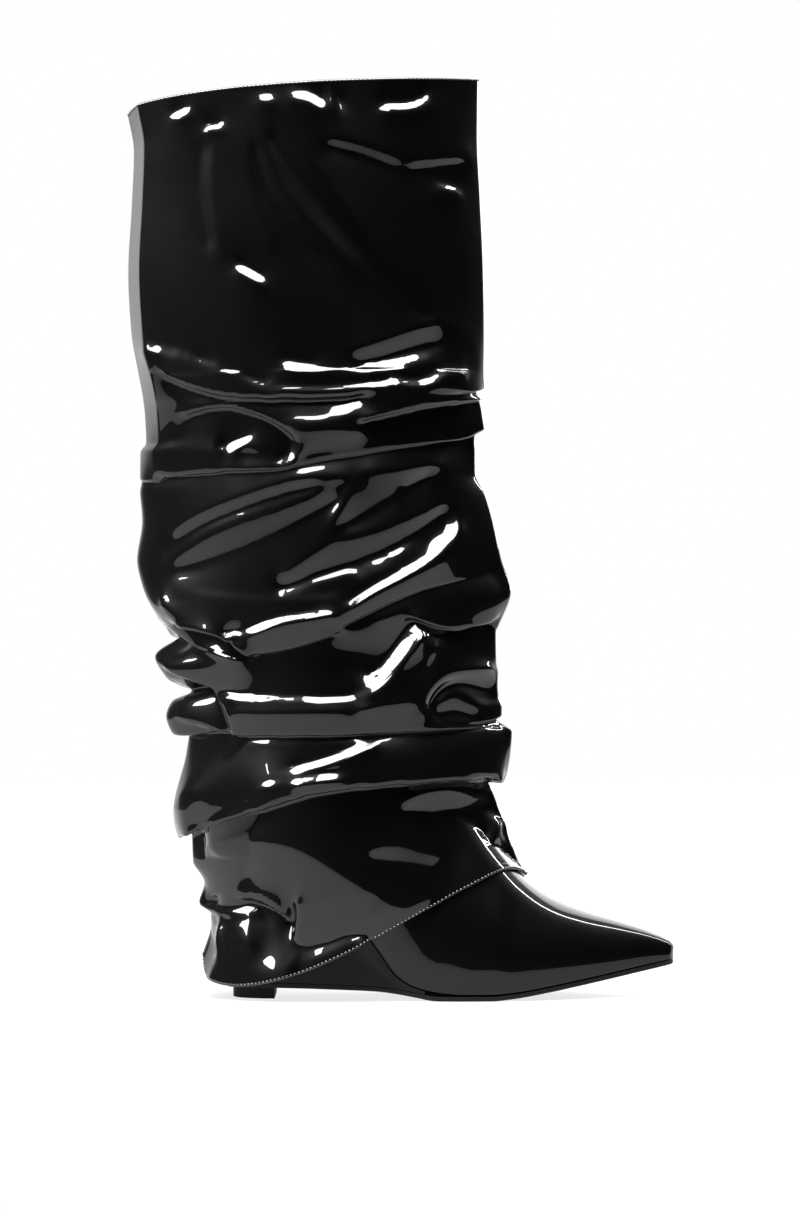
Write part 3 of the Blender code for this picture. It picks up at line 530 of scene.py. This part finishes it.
def add_bump(tree, shader, height, distance, socket="Normal"):
    """Bumps a shader's surface, or its coat, by a height over a distance in metres."""
    bump = tree.nodes.new("ShaderNodeBump")
    bump.inputs["Distance"].default_value = distance
    tree.links.new(height, bump.inputs["Height"])
    tree.links.new(bump.outputs["Normal"], shader.inputs[socket])


def add_fade(nodes, fade, soft=False):
    """A node that takes its value over a fade, in a line or on a soft step."""
    node = nodes.new("ShaderNodeMapRange")
    if soft:
        node.interpolation_type = "SMOOTHSTEP"
    for name, value in zip(("From Min", "From Max", "To Min", "To Max"), fade):
        node.inputs[name].default_value = value
    return node


def vary(tree, factor, low, high, socket):
    """Feeds a socket with a value that wanders between low and high."""
    spread = add_fade(tree.nodes, Fade(0.0, 1.0, low, high))
    tree.links.new(factor, spread.inputs["Value"])
    tree.links.new(spread.outputs["Result"], socket)


def patent_material(name, coat):
    """Black patent: a dark base under a clear, slightly uneven gloss coat."""
    material, tree, shader = new_material(name, colour=(0.0012, 0.0013, 0.0016), roughness=0.3)
    shader.inputs["Specular IOR Level"].default_value = 0.05
    shader.inputs["Coat Weight"].default_value = coat
    shader.inputs["Coat Roughness"].default_value = 0.015
    shader.inputs["Coat IOR"].default_value = 1.5
    peel = noise(tree, scale=160.0, detail=2.0)
    add_bump(tree, shader, peel, distance=0.00002, socket="Coat Normal")
    clouds = noise(tree, scale=40.0, detail=3.0)
    vary(tree, clouds, low=0.24, high=0.36, socket=shader.inputs["Roughness"])
    return material


def grained_material(finish):
    """Satin or matte leather, rubber or thread: grain in the bump, wandering roughness."""
    material, tree, shader = new_material(finish.name, finish.colour, (finish.low + finish.high) / 2)
    shader.inputs["Specular IOR Level"].default_value = finish.specular
    grain = noise(tree, finish.grain_scale, detail=4.0)
    add_bump(tree, shader, grain, finish.grain_depth)
    clouds = noise(tree, finish.grain_scale / CLOUDS_PER_GRAIN, detail=3.0)
    vary(tree, clouds, finish.low, finish.high, shader.inputs["Roughness"])
    return material


def weave_material():
    """Dark woven lining: two crossed sets of fine ribs."""
    material, tree, shader = new_material("lining", colour=(0.03, 0.03, 0.031), roughness=0.8)
    place = tree.nodes.new("ShaderNodeTexCoord")
    ribs = []
    for direction in ("X", "Z"):
        wave = tree.nodes.new("ShaderNodeTexWave")
        wave.bands_direction = direction
        wave.inputs["Scale"].default_value = 260.0
        tree.links.new(place.outputs["Object"], wave.inputs["Vector"])
        ribs.append(wave.outputs["Fac"])
    both = tree.nodes.new("ShaderNodeMath")
    both.operation = "MULTIPLY"
    tree.links.new(ribs[0], both.inputs[0])
    tree.links.new(ribs[1], both.inputs[1])
    add_bump(tree, shader, both.outputs["Value"], distance=0.0002)
    clouds = noise(tree, scale=60.0, detail=3.0)
    vary(tree, clouds, low=0.7, high=0.9, socket=shader.inputs["Roughness"])
    return material


def sole_at(x):
    """The last bottom's station at any x."""
    stations = [s.x for s in SOLE_STATIONS]
    return SoleStation(x, *(smooth(stations, column, x) for column in list(zip(*SOLE_STATIONS))[1:]))


def wedge_foot_half(half, x):
    """The wedge narrows to its foot, except at its front, where it runs out over the sole."""
    places = [WEDGE_BACK_X, WEDGE_RUN_OUT_X, WEDGE_FRONT_X]
    return half * smooth(places, [WEDGE_FOOT_SHARE, WEDGE_FOOT_SHARE, 1.0], x)


def sharp_mesh(name, rings):
    """A closed solid through closed rings that keeps its sharp edges."""
    mesh = grid_mesh(name, np.asarray(rings, float), closed_around=True, filled=True)
    mesh.set_sharp_from_angle(angle=math.radians(SHARP_ANGLE))
    return mesh


def sole_stations(front, back):
    """Even places along the sole from front to back."""
    return np.linspace(front, back, int((front - back) / SOLE_STEP) + 1)


def outsole_mesh():
    """The thin outsole with its lower edges eased."""
    rings = []
    round_x, round_share = zip(*OUTSOLE_HEEL_ROUND)
    for x in sole_stations(OUTSOLE_TOE_X, OUTSOLE_HEEL_X):
        s = sole_at(x)
        end_share = smooth(round_x, round_share, x)
        margin = SOLE_MARGIN if x > WEDGE_FRONT_X else 0.0
        out_y = s.centre_y - (wedge_foot_half(s.half_out, x) + margin) * end_share
        in_y = s.centre_y + (wedge_foot_half(s.half_in, x) + margin) * end_share
        low, high = s.tread_z, min(s.tread_z + OUTSOLE_THICKNESS, s.seat_z - PIECE_GAP)
        cut = SOLE_CHAMFER
        rings.append([
            (x, out_y + cut, low),
            (x, in_y - cut, low),
            (x, in_y, low + cut),
            (x, in_y, high),
            (x, out_y, high),
            (x, out_y, low + cut),
        ])
    return sharp_mesh("outsole_edge", rings[::-1])


def wedge_mesh():
    """The covered wedge, its sides drawn in to a waist on a smooth curve."""
    rings = []
    for x in sole_stations(WEDGE_FRONT_X, WEDGE_BACK_X):
        s = sole_at(x)
        low = s.tread_z + OUTSOLE_THICKNESS + PIECE_GAP
        high = s.seat_z - PIECE_GAP
        heights = np.linspace(low, high, WEDGE_SIDE_STEPS + 1)
        ring = []
        for y_sign, half in ((-1, s.half_out), (1, s.half_in)):
            foot = wedge_foot_half(half, x)
            waist = max((half + foot) / 2 * (WEDGE_WAIST_SHARE if x < WEDGE_WAIST_END_X else 1.0), foot)
            widths = smooth([low, (low + high) / 2, high], [foot, waist, half], heights)
            side = [(y_sign * width, z) for width, z in zip(widths, heights)]
            ring += side if y_sign > 0 else side[::-1]
        rake_share = (WEDGE_RAKE_START_X - x) / (WEDGE_RAKE_START_X - WEDGE_BACK_X)
        rake = WEDGE_BACK_RAKE * max(0.0, rake_share)
        rings.append([(x + rake * (high - z), y + s.centre_y, z) for y, z in ring])
    return sharp_mesh("wedge_cover", rings[::-1])


def half_section(top, seat, seat_half, half, side_power, y_sign):
    """Points down one side of the last, from the ridge to the feather line."""
    half = max(half, seat_half * LEAST_BULGE)
    tuck = (seat_half / half) ** (1 / side_power) if half else 0.0
    reach = math.pi - math.asin(tuck)
    angle = np.linspace(0, reach, SECTION_STEPS + 1)
    share = (1 - np.cos(angle)) / (1 - math.cos(reach))
    share = share + LOW_FULLNESS * share**3 * (1 - share)
    power = np.where(angle < math.pi / 2, RIDGE_POWER, side_power)
    points = np.asarray(top) + (np.asarray(seat) - np.asarray(top)) * share[:, None]
    points[:, 1] += y_sign * half * np.abs(np.sin(angle)) ** power
    points[-1] = (seat[0], seat[1] + y_sign * seat_half, seat[2])
    return points


def upper_mesh():
    """The upper's outer face, through the CAD's sections on smooth curves."""
    foot = [section for section in UPPER_SECTIONS if not section.back_z]
    table = range(len(UPPER_SECTIONS))
    last = len(UPPER_SECTIONS) - 1
    rows = []
    for place in np.linspace(0, last, last * SECTIONS_PER_ROW + 1):
        section = UpperSection(*(smooth(table, column, place) for column in zip(*UPPER_SECTIONS)))
        s = sole_at(section.seat_x)
        on_foot = place <= len(foot) - 1
        if on_foot:
            back_z = s.seat_z
        elif place < len(foot):
            back_z = max(section.back_z, s.seat_z)
        else:
            back_z = section.back_z
        top = (section.top_x, sole_at(section.top_x).centre_y, section.top_z)
        seat = (section.seat_x, s.centre_y, back_z)
        seat_out = s.half_out if on_foot and section.half_out else 0.0
        seat_in = s.half_in if on_foot and section.half_in else 0.0
        outer = half_section(top, seat, seat_out, section.half_out, section.side_power, -1)
        inner = half_section(top, seat, seat_in, section.half_in, section.side_power, 1)
        rows.append(np.concatenate([outer[::-1], inner[1:]]))
    return grid_mesh("vamp_and_quarters", np.asarray(rows))


def even_angles(count):
    """Angles from the front crease to the back that space the columns evenly round the shaft."""
    middle = SHAFT_RINGS[len(SHAFT_RINGS) // 2]
    angle = np.linspace(0, math.pi, STEPS_PER_COLUMN * count)
    forward = (1 + np.cos(angle)) / 2
    x = (middle.front_x - middle.back_x) * forward
    y = middle.half_out * np.sin(angle).clip(0) ** crease_power(forward)
    length = np.concatenate([[0], np.cumsum(np.hypot(np.diff(x), np.diff(y)))])
    return np.interp(np.linspace(0, length[-1], count + 1), length, angle)


def crease_power(forward):
    """The plan curve's power, from the back to the front crease."""
    return FRONT_CREASE_POWER * forward + BACK_CREASE_POWER * (1 - forward)


def ring_rows():
    """Fine rows of the ring table, as they are and evened out."""
    columns = {name: np.array(values) for name, values in zip(ShaftRing._fields, zip(*SHAFT_RINGS))}
    front_step = np.hypot(np.diff(columns["front_x"]), np.diff(columns["front_z"]))
    back_step = np.hypot(np.diff(columns["back_x"]), np.diff(columns["back_z"]))
    along = np.concatenate([[0], np.cumsum((front_step + back_step) / 2)])
    split = along[[ring.name for ring in SHAFT_RINGS].index(FOLDED_BELOW)]
    folded = np.arange(0, split, ROW_STEP)
    plain = np.linspace(split, along[-1], int((along[-1] - split) / TOP_ROW_STEP) + 1)
    at = np.concatenate([folded, plain])
    even_at = np.arange(0, along[-1] + 1)
    to_end = np.minimum(at, along[-1] - at)
    hold = np.exp(-to_end / END_HOLD)
    kernel = np.exp(-((even_at[:, None] - even_at[None, :]) / CALM_WIDTH) ** 2)
    kernel /= kernel.sum(axis=1, keepdims=True)
    sharp, calm = {}, {}
    for name in ShaftRing._fields[1:]:
        sharp[name] = smooth(along, columns[name], at)
        evened = np.interp(at, even_at, kernel @ smooth(along, columns[name], even_at))
        calm[name] = evened + (sharp[name] - evened) * hold
    return sharp, calm


def ring_points(rows, angles, side):
    """Points of all rows along one side, from the front crease to the back."""
    sag, half = rows["sag_" + side], rows["half_" + side]
    y_sign = -1 if side == "out" else 1
    forward = ((1 + np.cos(angles)) / 2)[None, :]
    sine = np.sin(angles).clip(0)[None, :]
    x = rows["back_x"][:, None] + (rows["front_x"] - rows["back_x"])[:, None] * forward
    z = rows["back_z"][:, None] + (rows["front_z"] - rows["back_z"])[:, None] * forward
    z = z + sag[:, None] * sine + rows["skew"][:, None] * np.sin(2 * angles)[None, :]
    creased = half[:, None] * sine ** crease_power(forward)
    flat_side = half[:, None] * (CORNER_SHARE + (1 - CORNER_SHARE) * sine**2)
    back_strip = STRIP_SLOPE * (x - rows["back_x"][:, None])
    blunt = np.where(forward < 0.5, np.minimum(flat_side, back_strip), creased)
    width = creased + (blunt - creased) * ease(*STRIP_RISE, rows["back_z"])[:, None]
    return np.stack([x, y_sign * width, z], axis=-1)


def curve_samples(path):
    """Even samples along a smooth curve through a path's points, with their unit left normals."""
    path = np.asarray(path, float)
    ends = np.concatenate([[2 * path[0] - path[1]], path, [2 * path[-1] - path[-2]]])
    pieces = []
    for a, b, c, d in zip(ends, ends[1:], ends[2:], ends[3:]):
        t = np.linspace(0, 1, max(2, int(np.hypot(*(c - b)) / LINE_STEP)), endpoint=False)[:, None]
        pieces.append(
            b + (c - a) / 2 * t + (a - 2.5 * b + 2 * c - d / 2) * t**2 + (1.5 * (b - c) + (d - a) / 2) * t**3
        )
    samples = np.concatenate(pieces + [path[-1:]])
    ahead = np.gradient(samples, axis=0)
    ahead /= np.linalg.norm(ahead, axis=1, keepdims=True)
    return samples, np.stack([-ahead[:, 1], ahead[:, 0]], axis=1)


def crease_lines(drift):
    """All lines that hold the skin: samples, height out and drop down."""
    lines = []
    shift = DRIFT if drift else 0.0
    for crease in CREASES:
        samples, _ = curve_samples(crease.path)
        lines.append((samples, crease.out, 0.0))
    for shelf in SHELVES:
        samples, left = curve_samples(shelf.path)
        lines.append((samples + left * SHELF_SPACING / 2, shelf.lip, LIP_DROP))
        lines.append((samples - left * SHELF_SPACING / 2, shelf.tuck, -TUCK_LIFT))
    return [
        (samples + shift * np.sin(samples[:, ::-1] / DRIFT_WAVE), out, drop) for samples, out, drop in lines
    ]


def press_lines(base, lines):
    """Spreads the lines' pulls over the grid: total pull, pulled height and pulled drop at each point."""
    rows, columns = base.shape[:2]
    flat = base[..., [0, 2]]
    tree = KDTree(rows * columns)
    for index, (x, z) in enumerate(flat.reshape(-1, 2)):
        tree.insert((x, 0, z), index)
    tree.balance()
    along = np.gradient(flat, axis=0)
    around = np.gradient(flat, axis=1)
    pull = np.full((rows, columns), REST_PULL)
    pulled = np.zeros((2, rows, columns))
    ends = (rows - LAST_CELL, columns - LAST_CELL)
    for samples, out, drop in lines:
        length = np.concatenate([[0], np.cumsum(np.hypot(*np.diff(samples, axis=0).T))])
        fade = np.clip(np.minimum(length, length[-1] - length) / END_FADE, END_SHARE, 1)
        for (x, z), share in zip(samples, fade):
            _, index, _ = tree.find((x, 0, z))
            row, column = divmod(index, columns)
            jacobian = np.stack([along[row, column], around[row, column]], axis=1)
            if abs(np.linalg.det(jacobian)) < LEAST_CELL:
                continue
            offset = np.linalg.solve(jacobian, np.array((x, z)) - flat[row, column]).clip(-1, 1)
            place = np.clip((row + offset[0], column + offset[1]), 0, ends)
            low = place.astype(int)
            part = place - low
            for i, weight_i in ((0, 1 - part[0]), (1, part[0])):
                for j, weight_j in ((0, 1 - part[1]), (1, part[1])):
                    weight = LINE_PULL * share * weight_i * weight_j
                    pull[low[0] + i, low[1] + j] += weight
                    pulled[0, low[0] + i, low[1] + j] += weight * out
                    pulled[1, low[0] + i, low[1] + j] += weight * drop
    return pull, pulled


def halved(grid):
    """Sums of two by two blocks of a grid."""
    rows, columns = grid.shape
    even = np.pad(grid, ((0, rows % 2), (0, columns % 2)))
    return even[::2, ::2] + even[1::2, ::2] + even[::2, 1::2] + even[1::2, 1::2]


def stretched(pull, pulled):
    """Height of a skin stretched between the lines that hold it, coarse grid first."""
    rows, columns = pull.shape
    if min(rows, columns) > COARSEST_GRID:
        coarse = stretched(halved(pull), halved(pulled))
        height = coarse.repeat(2, axis=0).repeat(2, axis=1)[:rows, :columns]
    else:
        height = np.zeros_like(pull)
    for _ in range(RELAX_ROUNDS):
        around = np.pad(height, 1, mode="edge")
        sides = around[:-2, 1:-1] + around[2:, 1:-1] + around[1:-1, :-2] + around[1:-1, 2:]
        height = (sides + pulled) / (4 + pull)
    return height


def rounded(grid):
    """A grid with its sharp lines rounded a little."""
    for _ in range(ROUNDING_PASSES):
        around = np.pad(grid, 1, mode="edge")
        grid = (around[:-2, 1:-1] + 2 * grid + around[2:, 1:-1]) / 4
        around = np.pad(grid, 1, mode="edge")
        grid = (around[1:-1, :-2] + 2 * grid + around[1:-1, 2:]) / 4
    return grid


def surface_normals(points):
    """Unit normals of a grid of points, from its own differences."""
    normal = np.cross(np.gradient(points, axis=1), np.gradient(points, axis=0))
    return normal / np.linalg.norm(normal, axis=-1, keepdims=True).clip(TINY)


def shaft_side(sharp, calm, angles, side):
    """One side of the shaft from the front crease to the back: the rings' folds near both creases, the
    even form between them, and the skin stretched over its crease lines."""
    near = 1 - ease(*CREASE_REACH, np.sin(angles))[None, :, None]
    even = ring_points(calm, angles, side)
    base = even + (ring_points(sharp, angles, side) - even) * near
    pull, pulled = press_lines(base, crease_lines(drift=side == "in"))
    for edge in (np.s_[:, :2], np.s_[:, -2:], np.s_[-2:, :]):
        pull[edge] += LINE_PULL
    out = rounded(stretched(pull, pulled[0]))
    drop = rounded(stretched(pull, pulled[1]))
    normal = surface_normals(even)
    if side == "out":
        normal = -normal
    points = base + normal * out[..., None]
    points[..., 2] -= drop
    return points


def clear_of(tree, points):
    """Moves points out until the shaft clears the foot and wedge inside it."""
    for point in points.reshape(-1, 3):
        near, normal, _, distance = tree.find_nearest(Vector(point))
        clear = (Vector(point) - near).dot(normal)
        if distance < TOUCH_RANGE and clear < SKIN_TO_FOOT:
            point += np.array(normal) * (SKIN_TO_FOOT - clear)
    return points


def search_tree(meshes):
    """One search tree, in millimetres, over the pieces that the shaft hangs around."""
    points, faces = [], []
    for mesh in meshes:
        start = len(points)
        points += [v.co / METRES_PER_MM for v in mesh.vertices]
        faces += [[start + i for i in p.vertices] for p in mesh.polygons]
    return BVHTree.FromPolygons(points, faces)


def shaft_points(body):
    """The shaft's outer face, rows from hem to collar, columns round the inner side and back along the
    outer one."""
    sharp, calm = ring_rows()
    inner = shaft_side(sharp, calm, even_angles(INNER_COLUMNS), "in")
    outer = shaft_side(sharp, calm, even_angles(OUTER_COLUMNS), "out")
    points = np.concatenate([inner, outer[:, -2:0:-1]], axis=1)
    low = points[:, :, 2].max(axis=1) < FOOT_TOP_Z
    points[low] = clear_of(body, points[low])
    return points


def closed_normals(points):
    """Outward normals of a grid that is closed around."""
    wrapped = np.concatenate([points[:, -2:], points, points[:, :2]], axis=1)
    return surface_normals(wrapped)[:, 2:-2]


def turned_edge(points, normals, rows):
    """A strip that rolls over the shaft's edge and runs down its inside; rows go from the edge inwards."""
    edge, away = points[rows[0]], points[rows[0]] - points[rows[1]]
    away /= np.linalg.norm(away, axis=-1, keepdims=True)
    strip = [edge]
    for turn in np.linspace(0, math.pi, EDGE_TURN_STEPS + 1)[1:]:
        inset = EDGE_FOLD / 2 * (1 - math.cos(turn))
        rise = EDGE_FOLD / 2 * math.sin(turn)
        strip.append(edge - normals[rows[0]] * inset + away * rise)
    for row in rows[1:]:
        strip.append(points[row] - normals[row] * EDGE_FOLD)
    return np.asarray(strip)


def stitch_row(path, normals):
    """Short stitches lying along a closed path."""
    loop = np.concatenate([path, path[:1]])
    loop_normals = np.concatenate([normals, normals[:1]])
    along = np.concatenate([[0], np.cumsum(np.linalg.norm(np.diff(loop, axis=0), axis=1))])
    count = int(along[-1] / STITCH_SPACING)
    turns = np.linspace(0, 2 * math.pi, STITCH_SIDES, endpoint=False)
    shares = np.linspace(-1, 1, STITCH_RINGS)

    def at(place, values):
        return np.array([np.interp(place % along[-1], along, column) for column in values.T])

    grids = []
    for place in np.arange(count) * along[-1] / count:
        centre, ahead = at(place, loop), at(place + TANGENT_STEP, loop)
        out = at(place, loop_normals)
        tangent = (ahead - centre) / np.linalg.norm(ahead - centre)
        across = np.cross(out, tangent)
        rings = []
        for share in shares:
            radius = STITCH_RADIUS * math.sqrt(max(STITCH_TIP, 1 - share * share))
            spine = centre + tangent * share * STITCH_LENGTH / 2
            rings.append([
                spine + radius * (math.cos(turn) * out + math.sin(turn) * across) for turn in turns
            ])
        grids.append(np.asarray(rings))
    return grids


def row_above(points, first, step, distance):
    """The row at a distance from an edge row, counted along the shaft."""
    row = first
    gone = 0.0
    while gone < distance:
        gone += np.linalg.norm(points[row + step] - points[row], axis=-1).mean()
        row += step
    return row


def add_camera():
    """A level camera whose frame has the photograph's height in the plane of the boot's middle."""
    camera = bpy.data.cameras.new("camera")
    camera.sensor_fit = "VERTICAL"
    camera.sensor_height = SENSOR
    camera.lens = SENSOR * -CAMERA_PLACE[1] / (PHOTO_HEIGHT_PX * MM_PER_PIXEL * METRES_PER_MM)
    eye = bpy.data.objects.new("camera", camera)
    eye.location = CAMERA_PLACE
    eye.rotation_euler = (math.pi / 2, 0, 0)
    bpy.context.scene.collection.objects.link(eye)
    bpy.context.scene.camera = eye


def add_softbox(box):
    """A rectangular light of a given brightness, aimed at a point; it may show in gloss alone."""
    light = bpy.data.lights.new(box.name, "AREA")
    light.shape = "RECTANGLE"
    light.size, light.size_y = box.size
    light.energy = box.radiance * math.pi * box.size[0] * box.size[1]
    lamp = bpy.data.objects.new(box.name, light)
    lamp.location = box.place
    lamp.rotation_euler = (Vector(box.target) - Vector(box.place)).to_track_quat("-Z", "Y").to_euler()
    lamp.visible_diffuse = not box.only_gloss
    bpy.context.scene.collection.objects.link(lamp)


def add_floor():
    """A pale floor whose glow fades towards the camera."""
    mesh = bpy.data.meshes.new("floor")
    mesh.from_pydata(FLOOR_CORNERS, [], [(0, 1, 2, 3)])
    floor = bpy.data.objects.new("floor", mesh)
    material, tree, shader = new_material("floor_white", FLOOR_COLOUR, FLOOR_ROUGHNESS)
    shader.inputs["Emission Color"].default_value = WHITE
    place = tree.nodes.new("ShaderNodeTexCoord")
    split = tree.nodes.new("ShaderNodeSeparateXYZ")
    glow = add_fade(tree.nodes, FLOOR_GLOW)
    tree.links.new(place.outputs["Object"], split.inputs["Vector"])
    tree.links.new(split.outputs["Y"], glow.inputs["Value"])
    tree.links.new(glow.outputs["Result"], shader.inputs["Emission Strength"])
    mesh.materials.append(material)
    bpy.context.scene.collection.objects.link(floor)


def add_room():
    """A white backdrop for the camera and, in reflections, a room that is dark in front."""
    world = bpy.data.worlds.new("studio")
    world.use_nodes = True
    bpy.context.scene.world = world
    nodes, links = world.node_tree.nodes, world.node_tree.links
    room = nodes["Background"]
    backdrop = nodes.new("ShaderNodeBackground")
    backdrop.inputs["Color"].default_value = WHITE
    path = nodes.new("ShaderNodeLightPath")
    mix = nodes.new("ShaderNodeMixShader")
    links.new(path.outputs["Is Camera Ray"], mix.inputs["Fac"])
    links.new(room.outputs["Background"], mix.inputs[1])
    links.new(backdrop.outputs["Background"], mix.inputs[2])
    links.new(mix.outputs["Shader"], nodes["World Output"].inputs["Surface"])
    place = nodes.new("ShaderNodeTexCoord")
    split = nodes.new("ShaderNodeSeparateXYZ")
    back_wall = add_fade(nodes, BACK_WALL, soft=True)
    left_wall = add_fade(nodes, LEFT_WALL, soft=True)
    walls = nodes.new("ShaderNodeMath")
    links.new(place.outputs["Generated"], split.inputs["Vector"])
    links.new(split.outputs["Y"], back_wall.inputs["Value"])
    links.new(split.outputs["X"], left_wall.inputs["Value"])
    links.new(back_wall.outputs["Result"], walls.inputs[0])
    links.new(left_wall.outputs["Result"], walls.inputs[1])
    links.new(walls.outputs["Value"], room.inputs["Color"])


def add_studio():
    """Floor, room and softboxes, in plain display colours."""
    bpy.context.scene.view_settings.view_transform = "Standard"
    add_floor()
    add_room()
    for box in SOFTBOXES:
        add_softbox(box)


def main():
    """Sets up the studio and dresses the boot from the sole upwards."""
    add_camera()
    add_studio()

    patent = patent_material("patent", coat=1.0)
    # Painted shade: the vamp takes a copy of the patent with a thinner coat, so the floor it reflects comes
    # out darker, standing in for the shaded floor in front of it.
    shaded_vamp_patent = patent_material("shaded_vamp_patent", coat=0.6)
    cover = grained_material(COVER_FINISH)
    sole = grained_material(SOLE_FINISH)
    rubber = grained_material(RUBBER_FINISH)
    lining = weave_material()
    thread = grained_material(THREAD_FINISH)

    upper = upper_mesh()
    wedge = wedge_mesh()
    vamp = add_piece("vamp_and_quarters", upper, shaded_vamp_patent, ["upper"])
    wall = vamp.modifiers.new("wall", "SOLIDIFY")
    wall.thickness = UPPER_WALL * METRES_PER_MM
    wall.offset = -1
    add_piece("wedge_covered", wedge, cover, ["wedge"])
    add_piece("outsole_edged", outsole_mesh(), sole, ["outsole"])

    points = shaft_points(search_tree([upper, wedge]))
    normals = closed_normals(points)
    add_tube("shaft_skin", points, patent, ["shaft"])

    last = len(points) - 1
    collar_rows = list(range(last, row_above(points, last, -1, FACING_DEPTH) - 1, -1))
    hem_rows = list(range(0, row_above(points, 0, 1, FACING_DEPTH) + 1))
    add_tube("collar_facing", turned_edge(points, normals, collar_rows), patent)
    add_tube("hem_facing", turned_edge(points, normals, hem_rows)[::-1], patent)

    inside = points - normals * LINING_INSET
    keep = [row for row in range(len(points)) if points[row, :, 2].min() > LINING_FOOT_Z]
    lining_end = collar_rows[-1] + LINING_OVERLAP_ROWS
    lining_rows = inside[keep[0]:lining_end:LINING_ROW_STRIDE, ::LINING_COLUMN_STRIDE]
    add_tube("shaft_lining", lining_rows[::-1], lining)

    for name, row in (("collar_stitches", last), ("hem_stitches", 0)):
        stitches = stitch_row(points[row], normals[row])
        add_piece(name, grid_mesh(name, *stitches, closed_around=True, filled=True), thread)

    for node, material in (("heel_top_piece", rubber), ("insole", lining)):
        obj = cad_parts[node]
        obj.data.materials.clear()
        obj.data.materials.append(material)


main()
